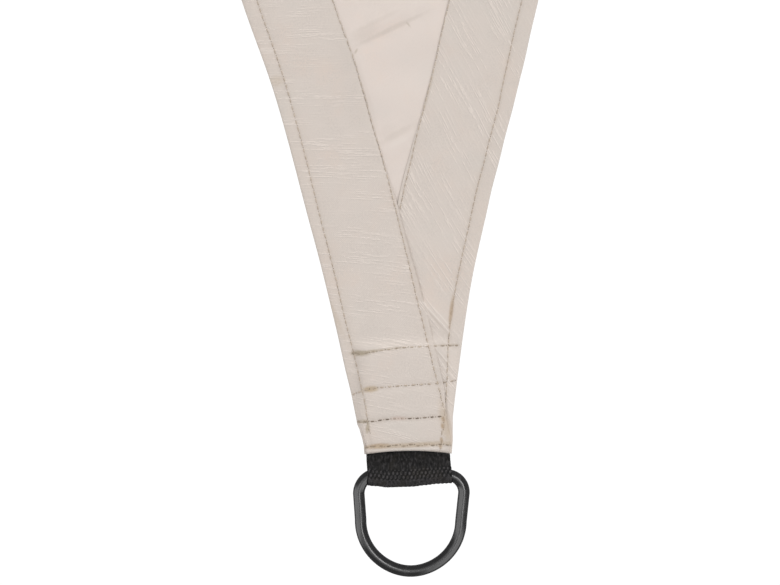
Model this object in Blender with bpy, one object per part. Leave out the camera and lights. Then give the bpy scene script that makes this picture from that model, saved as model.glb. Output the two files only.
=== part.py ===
"""Triangular shade sail, laid out flat with its hem side up.

One cloth panel with hollow-cut sides and folded hems, three black webbing loops sewn into its blunt corners,
and three black D-rings. Metres, +Z up. The origin lies on the floor under the middle of the panel, and the
first corner points to -Y. Each corner has a frame of its own: x runs across the corner, to the right when
the corner points at the viewer, and y runs from the cloth's end towards the middle of the sail.
"""

import math

import bmesh
import bpy
from mathutils import Vector
from mathutils.geometry import delaunay_2d_cdt

MM = 0.001

# The sail: driving dimensions.
SIDE = 3.0  # between the middles of two neighbouring corner ends
EDGE_HOLLOW = 205 * MM  # how far the middle of a side is cut in from the straight
CORNER_END = 40.6 * MM  # width of the blunt cloth end, which fits the webbing
FLARE = 12.2 * MM  # how far each edge swings out to make room for the webbing
FLARE_REACH = 86 * MM  # the distance over which the flare dies out
HEM = 40 * MM
SHEET = 1.0 * MM  # thickness of every cloth layer
GAP = 0.3 * MM  # between layers and between pieces

# The webbing loops.
WEBBING_WIDTH = 38 * MM
WEBBING_THICK = 1.2 * MM
TAIL = 46 * MM  # how far both ends of a loop reach into the corner
BAR_BEYOND = 11.0 * MM  # from the cloth's end to the middle of the ring's bar
LOOP_BEYOND = 12.4 * MM  # from the cloth's end to the middle of the loop's round end
BAR_PLAY = 0.3 * MM  # between the bar and the webbing round it

# The D-rings.
WIRE = 5.0 * MM
RING_TOP_HALF = 23.7 * MM  # half width between wire centres, at the bar's end of the ring
RING_CORNER = 6.6 * MM  # bend radius between bar and leg
RING_ARC = 23.2 * MM  # radius of the round end
RING_ARC_DROP = 20.5 * MM  # from the bar to the centre of the round end
WIRE_SIDES = 10
ARC_STEPS = 21  # odd, so that one flat facet lies at the middle of the round end
BEND_STEPS = 5

# How each ring lies in its loop: play to the right along the bar, and turn about the vertical.
RING_LIES = (
    {"shift": 1.25 * MM, "swing": math.radians(-3.3)},
    {"shift": -0.6 * MM, "swing": math.radians(2.0)},
    {"shift": 0.4 * MM, "swing": math.radians(-1.5)},
)

# Soft ripples of the panel where it doesn't lie down flat: two ends, crest height and half width.
# The first three run out from the corners, the others cross the open middle and the long hems.
RIPPLES = (
    {"start": (-0.05, -1.42), "end": (-0.24, -0.42), "height": 7 * MM, "spread": 0.12},
    {"start": (1.22, 0.62), "end": (0.42, 0.10), "height": 6 * MM, "spread": 0.13},
    {"start": (-1.24, 0.72), "end": (-0.38, 0.33), "height": 8 * MM, "spread": 0.14},
    {"start": (0.22, -0.98), "end": (0.47, -0.36), "height": 5 * MM, "spread": 0.12},
    {"start": (-0.62, -0.02), "end": (-0.30, 0.12), "height": 6 * MM, "spread": 0.12},
    {"start": (-0.30, 0.74), "end": (0.26, 0.42), "height": 7 * MM, "spread": 0.15},
    {"start": (0.62, 0.66), "end": (0.78, 0.34), "height": 6 * MM, "spread": 0.12},
)

# Where the cloth is cut into rows and columns of faces.
CORNER_STATIONS = tuple(v * MM for v in (0, 8, 16, 24, 32, 40, 48, 56, 64, 78, 90, 98, 106, 116, 132, 150))
CORNER_ZONE = CORNER_STATIONS[-1]
MIDDLE_STEPS = 34
PANEL_STEP = 88 * MM  # spacing of the points inside the panel
HEM_STRAIGHTENS = 0.25  # past the corner, the distance over which the cross lines turn square to the edge

CORNERS = 3
END_HALF = CORNER_END / 2
CORNER_RADIUS = SIDE / math.sqrt(3)  # from the middle of the sail to a corner end
WIRE_R = WIRE / 2
LAYER = SHEET + GAP  # from one layer's underside to the next one's
TAIL_LOW = LAYER  # underside of the lower tail
TAIL_HIGH = TAIL_LOW + WEBBING_THICK + GAP  # underside of the upper tail
TAILS_LIFT = TAIL_HIGH + WEBBING_THICK - SHEET  # how much higher a hem lies over both tails
LIFT_HALF = WEBBING_WIDTH / 2 + 0.6 * MM  # the hem is at its full height inside this half width
LIFT_FADE = 7 * MM  # and is down on the panel this far outside it
CLIMB = 6.0 * MM  # width of the upper hem's step on to the lower one
CLIMB_EARLY = 2.0 * MM  # how far before the lower hem's free edge the upper one is up
LOOP_INNER = WIRE_R + BAR_PLAY
BAR_HEIGHT = LOOP_INNER + WEBBING_THICK  # the loop's underside is on the floor

CLOTH_COLOUR = (0.665, 0.598, 0.539)
WEBBING_COLOUR = (0.026, 0.025, 0.025)
WIRE_COLOUR = (0.020, 0.020, 0.021)


def smooth(t):
    """Ease from 0 to 1 as t goes from 0 to 1."""
    t = min(max(t, 0.0), 1.0)
    return t * t * (3 - 2 * t)


def clamp(value, low, high):
    return max(low, min(value, high))


def material(name, colour, roughness, metallic=0.0):
    made = bpy.data.materials.new(name)
    made.use_nodes = True
    shader = made.node_tree.nodes["Principled BSDF"]
    shader.inputs["Base Color"].default_value = (*colour, 1)
    shader.inputs["Roughness"].default_value = roughness
    shader.inputs["Metallic"].default_value = metallic
    return made


def add_object(name, mesh_maker, finish, parent=None):
    """Fill a new mesh object, turn its faces outwards and shade its round parts smooth."""
    mesh = bpy.data.meshes.new(name)
    work = bmesh.new()
    mesh_maker(work)
    bmesh.ops.recalc_face_normals(work, faces=work.faces)
    work.to_mesh(mesh)
    work.free()
    mesh.shade_smooth()
    mesh.set_sharp_from_angle(angle=math.radians(40))
    made = bpy.data.objects.new(name, mesh)
    made.data.materials.append(finish)
    made.parent = parent
    bpy.context.collection.objects.link(made)
    return made


# ---------------------------------------------------------------------------------------------------------
# Corners and sides
# ---------------------------------------------------------------------------------------------------------


class Corner:
    """A blunt corner end: where it is, which way is inwards, and which way is right."""

    def __init__(self, index):
        self.turn = math.tau / CORNERS * index
        outwards = Vector((math.sin(self.turn), -math.cos(self.turn)))
        self.inwards = -outwards
        self.right = Vector((self.inwards.y, -self.inwards.x))
        self.end = outwards * CORNER_RADIUS

    def point(self, x, y):
        return self.end + self.right * x + self.inwards * y


class Side:
    """The cut edge from one corner to the next, counter-clockwise, and the hem folded along it."""

    def __init__(self, index, corners):
        self.first = corners[index]
        self.last = corners[(index + 1) % CORNERS]
        self.start = self.first.point(END_HALF - FLARE, 0)
        chord = self.last.point(FLARE - END_HALF, 0) - self.start
        self.length = chord.length
        self.along = chord.normalized()
        self.inwards = Vector((-self.along.y, self.along.x))

    def share(self, y):
        """Share of the side's length at which its edge is the distance y in from the first corner's end."""
        bow = 4 * EDGE_HOLLOW * self.inwards.dot(self.first.inwards)
        run = self.length * self.along.dot(self.first.inwards) + bow
        return 2 * y / (run + math.sqrt(run * run - 4 * bow * y))

    def edge(self, t):
        """Point of the cloth's outer edge: a shallow bow, flared near both corners."""
        point = self.start + self.along * (self.length * t) + self.inwards * (4 * EDGE_HOLLOW * t * (1 - t))
        for corner, way in ((self.first, 1), (self.last, -1)):
            reach = (point - corner.end).dot(corner.inwards)
            point = point + corner.right * (way * FLARE * math.exp(-reach / FLARE_REACH))
        return point

    def tangent(self, t):
        step = 1e-4
        return (self.edge(t + step) - self.edge(t - step)).normalized()

    def cross_line(self, t):
        """Outer and inner end of the hem's cross line.

        Near a corner it runs parallel to the corner's end, and along the side it is square to the edge.
        """
        outer = self.edge(t)
        along = self.tangent(t)
        inwards = Vector((-along.y, along.x))
        inner = outer + inwards * HEM
        for corner, way in ((self.first, -1), (self.last, 1)):
            reach = (outer - corner.end).dot(corner.inwards)
            slope = abs(along.dot(corner.right) / along.dot(corner.inwards))
            keep = 1 - smooth((reach - CORNER_ZONE) / HEM_STRAIGHTENS)
            inner = inner + along * (way * HEM * slope * keep)
        return outer, inner


def ripple(point):
    """Height to which the panel rises off the floor at a point."""
    rise = 0.0
    for fold in RIPPLES:
        start, end = Vector(fold["start"]), Vector(fold["end"])
        run = end - start
        t = clamp((point - start).dot(run) / run.length_squared, 0.0, 1.0)
        off = (point - start - run * t).length / fold["spread"]
        rise += fold["height"] * smooth(2.5 * min(t, 1 - t)) * (1 - smooth(off))
    return rise


# ---------------------------------------------------------------------------------------------------------
# The cloth
# ---------------------------------------------------------------------------------------------------------


def tails_lift(x, y):
    """Extra height of a hem where it lies over the webbing's two tails."""
    across = 1 - smooth((abs(x) - LIFT_HALF) / LIFT_FADE)
    inwards = 1 - smooth((y - TAIL - 2 * MM) / (16 * MM))
    return TAILS_LIFT * across * inwards


def lower_hem_rows(half, width):
    """Cross positions of the hem that lies underneath, from its fold on the right to its free edge."""
    fold = half - SHEET
    free = max(half - width, -half + SHEET + GAP)
    over_webbing = clamp(LIFT_HALF, fold - 12 * MM, fold - 2 * MM)
    third = (free - over_webbing) / 3
    return [fold, over_webbing, over_webbing + third, over_webbing + 2 * third, free]


def upper_hem_rows(half, width, lower_free):
    """Cross positions of the hem that lies on top, from its fold on the left to its free edge."""
    fold = SHEET - half
    free = width - half
    foot = max(min(lower_free - CLIMB_EARLY - CLIMB, free - 12 * MM), fold + 2 * MM)
    top = max(min(lower_free - CLIMB_EARLY, free - 4 * MM), foot + 1.5 * MM)
    return [fold, foot, top, (top + free) / 2, free]


def corner_section(corner, y, outer, inner, on_top):
    """Plan points and heights of the folded hem's underside on one cross line of a corner."""
    half = abs((outer - corner.end).dot(corner.right))
    width = (inner - outer).length
    lower_rows = lower_hem_rows(half, width)
    lower_free = lower_rows[-1]
    rows = upper_hem_rows(half, width, lower_free) if on_top else lower_rows
    section = []
    for x in rows:
        height = LAYER + tails_lift(x, y)
        if on_top:
            height += LAYER * smooth((x - lower_free + CLIMB_EARLY + CLIMB) / CLIMB)
        section.append((corner.point(x, y), height))
    return section


class HemStation:
    """The vertices of one hem on one cross line, from the floor round the fold to the free edge and back."""

    def __init__(self, work, outer, inner, flap, with_inner_base):
        def vertex(plan, z):
            return work.verts.new((plan.x, plan.y, z + ripple(plan)))

        unit = (inner - outer).normalized()
        fold = outer + unit * SHEET
        shoulder = outer + unit * (0.29 * SHEET)
        top_of_fold = flap[0][1] + SHEET
        self.under = vertex(fold, 0)
        self.wall = [
            self.under,
            vertex(shoulder, 0.29 * SHEET),
            vertex(outer, SHEET),
            vertex(outer, top_of_fold - SHEET),
            vertex(shoulder, top_of_fold - 0.29 * SHEET),
            vertex(fold, top_of_fold),
        ]
        self.top = [self.wall[-1]] + [vertex(plan, z + SHEET) for plan, z in flap[1:]]
        self.bottom = [vertex(fold, flap[0][1])] + [vertex(plan, z) for plan, z in flap[1:]]
        self.base = vertex(fold, SHEET)
        if with_inner_base:
            self.base_inner = vertex(inner, SHEET)
            self.under_inner = vertex(inner, 0)

    def outline(self):
        """All vertices in order, for the face that closes the hem's cut end."""
        return self.wall[:-1] + self.top + self.bottom[::-1] + [self.base]


def strip(work, one, other):
    """Faces between two rows of vertices, or a single flat face where their numbers differ."""
    if len(one) != len(other):
        work.faces.new(one + other[::-1])
        return
    for a, b, c, d in zip(one[:-1], one[1:], other[1:], other[:-1]):
        work.faces.new((a, b, c))
        work.faces.new((a, c, d))


def hem_stations(work, side):
    """All stations of a side: lower hem at its first corner, the long middle, upper hem at its last one."""
    zone = side.share(CORNER_ZONE)
    stations = []
    for y in CORNER_STATIONS:
        outer, inner = side.cross_line(side.share(y))
        flap = corner_section(side.first, y, outer, inner, on_top=False)
        stations.append(HemStation(work, outer, inner, flap, with_inner_base=y == CORNER_ZONE))
    for step in range(1, MIDDLE_STEPS):
        outer, inner = side.cross_line(zone + (1 - 2 * zone) * step / MIDDLE_STEPS)
        fold = outer + (inner - outer).normalized() * SHEET
        flap = [(fold, LAYER), (inner, LAYER)]
        stations.append(HemStation(work, outer, inner, flap, with_inner_base=True))
    for y in reversed(CORNER_STATIONS):
        outer, inner = side.cross_line(1 - side.share(y))
        flap = corner_section(side.last, y, outer, inner, on_top=True)
        stations.append(HemStation(work, outer, inner, flap, with_inner_base=y == CORNER_ZONE))
    return stations


def join_hem(work, stations):
    """Faces of a whole hem, and of the panel right under it along the side's middle."""
    for one, other in zip(stations[:-1], stations[1:]):
        strip(work, one.wall, other.wall)
        strip(work, one.top, other.top)
        strip(work, [one.top[-1], one.bottom[-1]], [other.top[-1], other.bottom[-1]])
        strip(work, one.bottom, other.bottom)
        strip(work, [one.bottom[0], one.base], [other.bottom[0], other.base])
    zone = len(CORNER_STATIONS) - 1
    middle = stations[zone : len(stations) - zone]
    for one, other in zip(middle[:-1], middle[1:]):
        strip(work, [one.base, one.base_inner], [other.base, other.base_inner])
        strip(work, [one.under, one.under_inner], [other.under, other.under_inner])


def join_corner(work, left, right):
    """Panel between both hems of a corner, and the face that closes the cloth's blunt end.

    Args:
        left: the stations of the hem that ends at this corner, from the end inwards.
        right: the stations of the hem that starts there, from the end inwards.
    """
    last = len(CORNER_STATIONS) - 1
    for row in range(last):
        near = row + 1 == last
        for outer_row, inner_row in (("base", "base_inner"), ("under", "under_inner")):
            one = [getattr(left[row], outer_row), getattr(right[row], outer_row)]
            other = [getattr(left[row + 1], outer_row), getattr(right[row + 1], outer_row)]
            if near:
                other[1:1] = [getattr(left[last], inner_row), getattr(right[last], inner_row)]
            strip(work, one, other)
    work.faces.new(right[0].outline() + left[0].outline()[::-1])


def fill_panel(work, sides):
    """The panel inside the hems: one plan of triangles, used for its top and for its underside."""
    zone = len(CORNER_STATIONS) - 1
    rim = [station for side in sides for station in side[zone : len(side) - zone]]
    loop = [Vector(station.base_inner.co.xy) for station in rim]
    inside = panel_points(loop)
    plan = loop + inside
    count = len(loop)
    result = delaunay_2d_cdt(plan, [], [list(range(count))], 1, 1e-6)
    places, triangles, originals = result[0], result[2], result[3]
    levels = []
    for level, name in ((SHEET, "base_inner"), (0.0, "under_inner")):
        made = [work.verts.new((p.x, p.y, level + ripple(p))) for p in inside]
        levels.append([getattr(station, name) for station in rim] + made)
    number = [originals[i][0] for i in range(len(places))]
    for triangle in triangles:
        for vertices in levels:
            work.faces.new([vertices[number[i]] for i in triangle])


def panel_points(loop):
    """Evenly staggered points inside the loop, clear of its edge by half a step."""
    low = min(p.y for p in loop)
    high = max(p.y for p in loop)
    reach = max(abs(p.x) for p in loop)
    points = []
    row_height = PANEL_STEP * math.sqrt(3) / 2
    for row in range(int((high - low) / row_height) + 1):
        y = low + row * row_height
        count = int(reach / PANEL_STEP) + 1
        for column in range(-count, count + 1):
            point = Vector(((column + 0.5 * (row % 2)) * PANEL_STEP, y))
            if is_inside(point, loop) and clearance(point, loop) > PANEL_STEP / 2:
                points.append(point)
    return points


def is_inside(point, loop):
    crossings = 0
    for a, b in zip(loop, loop[1:] + loop[:1]):
        if (a.y > point.y) != (b.y > point.y):
            crossings += point.x < a.x + (point.y - a.y) * (b.x - a.x) / (b.y - a.y)
    return crossings % 2 == 1


def clearance(point, loop):
    nearest = math.inf
    for a, b in zip(loop, loop[1:] + loop[:1]):
        t = clamp((point - a).dot(b - a) / (b - a).length_squared, 0.0, 1.0)
        nearest = min(nearest, (point - a - (b - a) * t).length)
    return nearest


def sail_cloth(work):
    corners = [Corner(i) for i in range(CORNERS)]
    sides = [hem_stations(work, Side(i, corners)) for i in range(CORNERS)]
    for stations in sides:
        join_hem(work, stations)
    for i in range(CORNERS):
        join_corner(work, sides[i - 1][::-1], sides[i])
    fill_panel(work, sides)


# ---------------------------------------------------------------------------------------------------------
# Webbing loop and D-ring, each in its corner's frame
# ---------------------------------------------------------------------------------------------------------


def loop_path():
    """Middle line of the webbing in the y-z plane: lower tail, round the bar, upper tail."""
    half = WEBBING_THICK / 2
    round_r = LOOP_INNER + half
    low_tail, high_tail = TAIL_LOW + half, TAIL_HIGH + half
    low, high = BAR_HEIGHT - round_r, BAR_HEIGHT + round_r
    spread = 8 * MM  # beyond the cloth's end, the distance in which the layers part
    steps = 5
    lower, upper = [(TAIL, low_tail)], [(TAIL, high_tail)]
    for i in range(steps + 1):
        t = i / steps
        lower.append((-spread * t, low_tail + (low - low_tail) * smooth(t)))
        upper.append((-spread * t, high_tail + (high - high_tail) * smooth(t)))
    turn = []
    turn_steps = 10
    for i in range(turn_steps + 1):
        angle = math.pi * i / turn_steps
        turn.append((-LOOP_BEYOND - round_r * math.sin(angle), BAR_HEIGHT - round_r * math.cos(angle)))
    return [Vector(p) for p in lower + turn + upper[::-1]]


def offset_path(path, distance):
    """The path moved sideways by a distance, with mitred bends."""
    moved = []
    for i, point in enumerate(path):
        before = (point - path[i - 1]).normalized() if i else (path[1] - point).normalized()
        after = (path[i + 1] - point).normalized() if i + 1 < len(path) else before
        bisector = Vector((-(before + after).y, (before + after).x)).normalized()
        square = Vector((-after.y, after.x))
        moved.append(point + bisector * (distance / bisector.dot(square)))
    return moved


def webbing_loop(work):
    path = loop_path()
    inner = offset_path(path, WEBBING_THICK / 2)
    outer = offset_path(path, -WEBBING_THICK / 2)
    half = WEBBING_WIDTH / 2
    rows = [
        [work.verts.new((x, p.x, p.y)) for p in line] for line in (outer, inner) for x in (-half, half)
    ]
    outer_left, outer_right, inner_left, inner_right = rows
    around = (outer_left, outer_right, inner_right, inner_left)
    for one, other in zip(around, around[1:] + around[:1]):
        strip(work, one, other)
    for end in (0, -1):
        work.faces.new([line[end] for line in around])


def ring_path():
    """Middle line of the wire in the ring's own plane, its bar on the x axis, counter-clockwise."""
    arc = [math.pi + math.pi * i / ARC_STEPS for i in range(ARC_STEPS + 1)]
    path = [Vector((RING_ARC * math.cos(a), RING_ARC * math.sin(a) - RING_ARC_DROP)) for a in arc]
    for side, first in ((1, 0.0), (-1, math.pi / 2)):
        centre = Vector((side * (RING_TOP_HALF - RING_CORNER), -RING_CORNER))
        for i in range(BEND_STEPS + 1):
            angle = first + math.pi / 2 * i / BEND_STEPS
            path.append(centre + Vector((math.cos(angle), math.sin(angle))) * RING_CORNER)
    return path


def d_ring(work):
    """A wire of round section bent to a D and closed, with a flat facet all along its inner side."""
    path = ring_path()
    sections = []
    for i, point in enumerate(path):
        before = (point - path[i - 1]).normalized()
        after = (path[(i + 1) % len(path)] - point).normalized()
        bisector = Vector((-(before + after).y, (before + after).x)).normalized()
        stretch = 1 / bisector.dot(Vector((-after.y, after.x)))
        section = []
        for k in range(WIRE_SIDES):
            angle = math.tau * (k + 0.5) / WIRE_SIDES
            place = point + bisector * (WIRE_R * math.cos(angle) * stretch)
            section.append(work.verts.new((place.x, place.y, WIRE_R * math.sin(angle))))
        sections.append(section)
    for one, other in zip(sections, sections[1:] + sections[:1]):
        for k in range(WIRE_SIDES):
            after = (k + 1) % WIRE_SIDES
            work.faces.new((one[k], one[after], other[after], other[k]))


# ---------------------------------------------------------------------------------------------------------
# The whole sail
# ---------------------------------------------------------------------------------------------------------


def main():
    for old in list(bpy.data.objects):
        bpy.data.objects.remove(old, do_unlink=True)

    cloth = material("coated woven polyester", CLOTH_COLOUR, 0.82)
    webbing = material("black webbing", WEBBING_COLOUR, 0.78)
    wire = material("black coated wire", WIRE_COLOUR, 0.32)

    add_object("sail_cloth", sail_cloth, cloth)
    ring_length = RING_ARC_DROP + RING_ARC
    ring_tilt = math.asin((BAR_HEIGHT - WIRE_R) / ring_length)  # its far end rests on the floor
    for i, lies in enumerate(RING_LIES):
        corner = Corner(i)
        place = bpy.data.objects.new(f"corner_{i + 1}", None)
        place.location = (corner.end.x, corner.end.y, 0)
        place.rotation_euler = (0, 0, corner.turn)
        bpy.context.collection.objects.link(place)
        add_object(f"webbing_loop_{i + 1}", webbing_loop, webbing, parent=place)
        ring = add_object(f"d_ring_{i + 1}", d_ring, wire, parent=place)
        ring.location = (lies["shift"], -BAR_BEYOND, BAR_HEIGHT)
        ring.rotation_euler = (ring_tilt, 0, lies["swing"])


main()
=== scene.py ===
"""A triangular shade sail: coated polyester cloth, sewing thread, black webbing and black D-rings.

Metres, +Z up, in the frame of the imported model: the origin is on the floor under the middle of the sail, and
the first corner points to -Y. The sail lies flat with its hem side up. Each corner has a frame of its own, in
which x runs across the corner, to the right when the corner points at the viewer, and y runs from the cloth's
end towards the middle of the sail. Hem, seam and crease places are distances in such a frame.
"""

from __future__ import annotations

import logging
import math
from dataclasses import dataclass, field
from enum import Enum
from typing import Any, Iterable, Sequence

import bpy
from mathutils import Matrix, Vector, noise
from mathutils.bvhtree import BVHTree
from mathutils.geometry import delaunay_2d_cdt

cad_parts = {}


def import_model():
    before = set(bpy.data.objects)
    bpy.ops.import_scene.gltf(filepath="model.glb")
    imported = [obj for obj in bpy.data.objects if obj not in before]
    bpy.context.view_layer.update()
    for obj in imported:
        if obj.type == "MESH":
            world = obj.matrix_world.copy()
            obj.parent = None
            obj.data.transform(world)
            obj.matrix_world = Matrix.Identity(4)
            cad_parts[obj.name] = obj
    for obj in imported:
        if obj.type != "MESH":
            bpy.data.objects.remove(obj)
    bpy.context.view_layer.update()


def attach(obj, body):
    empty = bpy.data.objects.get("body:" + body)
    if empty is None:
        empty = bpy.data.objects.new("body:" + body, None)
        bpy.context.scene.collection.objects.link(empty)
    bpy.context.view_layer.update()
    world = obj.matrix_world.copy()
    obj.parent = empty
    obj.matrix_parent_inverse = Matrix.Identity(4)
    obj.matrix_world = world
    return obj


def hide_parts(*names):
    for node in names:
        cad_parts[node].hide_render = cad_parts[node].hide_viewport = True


MM = 0.001
CORNERS = 3
FLOAT = "NodeSocketFloat"
ARCH_REACH = 12 * MM  # how far in from its end the cloth follows the end's arch
FOLD_SIDE = 1.1 * MM  # from a hem's fold to where its layers have their full distance
RING_LIES = ((1.3 * MM, -3.3), (-0.6 * MM, 2.0), (0.4 * MM, -1.5))  # each ring's play to the right, and turn

log = logging.getLogger("shade_sail")

Socket = bpy.types.NodeSocket
Material = bpy.types.Material
Object = bpy.types.Object
Colour = tuple[float, float, float]
Places = tuple[tuple[float, float], ...]


# --- Small helpers ---


def smooth(t: float) -> float:
    """Ease from 0 to 1 as t goes from 0 to 1."""
    t = min(max(t, 0.0), 1.0)
    return t * t * (3 - 2 * t)


def clamp(value: float, low: float, high: float) -> float:
    """The value, kept between low and high."""
    return max(low, min(value, high))


def bell(distance: float, width: float) -> float:
    """A soft bump of height 1 that has faded to a third at the given width."""
    return math.exp(-((distance / width) ** 2))


def unevenness(point: Vector, size: float, seed: float) -> float:
    """Smooth noise from -1 to 1 over the plan, with spots of about the given size."""
    return noise.noise(Vector((point.x / size, point.y / size, seed)))


def straight(rows: Places, place: float, ease: bool = False) -> float:
    """Value at a place between rows.

    Args:
        rows: pairs of a place and its value, in rising order.
        place: where the value is wanted.
        ease: whether the value eases from row to row, instead of running straight.

    Returns:
        The value, which stays the same past both ends.
    """
    if place <= rows[0][0]:
        return rows[0][1]
    for (a, value_a), (b, value_b) in zip(rows[:-1], rows[1:]):
        if place <= b:
            share = (place - a) / (b - a)
            return value_a + (value_b - value_a) * (smooth(share) if ease else share)
    return rows[-1][1]


def eased(rows: Places, place: float) -> float:
    """Value at a place, eased between the neighbouring rows of (place, value)."""
    return straight(rows, place, ease=True)


# --- How each corner came out: unevenness, rows of stitches, creases, spots of stain and of painted shade and highlight, in millimetres ---


class Layer(Enum):
    """The layers of cloth that a crease can run in."""

    PANEL = "panel"
    LEFT_HEM = "left hem"
    RIGHT_HEM = "right hem"


class SoilOrPaintedLight(Enum):
    """What a stain is, by its colour on the cloth; the last two are painted highlight and painted shade."""

    RUST = (0.385, 0.290, 0.205)
    TAN = (0.405, 0.318, 0.222)
    OLIVE = (0.345, 0.290, 0.220)
    ROSE = (0.470, 0.365, 0.320)
    # Painted highlight and painted shade, drawn as spots along creases and fold edges.
    PAINTED_HIGHLIGHT = (0.630, 0.575, 0.530)
    PAINTED_SHADE = (0.420, 0.365, 0.318)


@dataclass(frozen=True)
class Crease:
    """A soft ridge, or a trough where its height is negative, along a line of a corner."""

    on: Layer
    line: Places
    height: float
    width: float

    def rise(self, x: float, y: float) -> float:
        """Height in metres that the crease adds at a place of the corner, also given in metres.

        Args:
            x: place across the corner, in metres.
            y: distance from the corner's end, in metres.

        Returns:
            The height.
        """
        best = 0.0
        for (ax, ay), (bx, by) in zip(self.line[:-1], self.line[1:]):
            run_x, run_y = bx - ax, by - ay
            t = ((x / MM - ax) * run_x + (y / MM - ay) * run_y) / (run_x * run_x + run_y * run_y)
            held = clamp(t, 0.0, 1.0)
            off = math.hypot(x / MM - ax - run_x * held, y / MM - ay - run_y * held)
            best = max(best, bell(off, self.width))
        return self.height * MM * best


@dataclass(frozen=True)
class StainOrPaintedLight:
    """An elongated spot in a corner, a stain or painted light by its kind: its middle, its size along and
    across, and its turn in degrees.
    """

    soil_and_painted_light: SoilOrPaintedLight
    place: tuple[float, float]
    size: tuple[float, float]
    turn: float
    strength: float


@dataclass(frozen=True)
class Row:
    """A row of stitches across a corner: its line, how dirty its thread is, and how far it wiggles."""

    line: Places
    dirt: Places
    wiggle: float = 0.0


@dataclass(frozen=True)
class SewnCorner:
    """How one corner was sewn.

    The edges stray outwards by their rows of (distance from the corner's end, shift). The seams' and the
    hems' free edges stray in the same way from their usual distance to the cut edge. The left hem's fold
    edge gets painted shade by its rows of (distance from the corner's end, strength).
    """

    left_edge: Places
    right_edge: Places
    left_outer_seam: Places
    right_outer_seam: Places
    left_inner_seam: Places
    right_inner_seam: Places
    left_hem: Places
    right_hem: Places
    end_arch: tuple[float, float, float]
    fold_painted_shade: Places
    rows: tuple[Row, ...]
    creases: tuple[Crease, ...]
    stains_and_painted_light: tuple[StainOrPaintedLight, ...]


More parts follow.
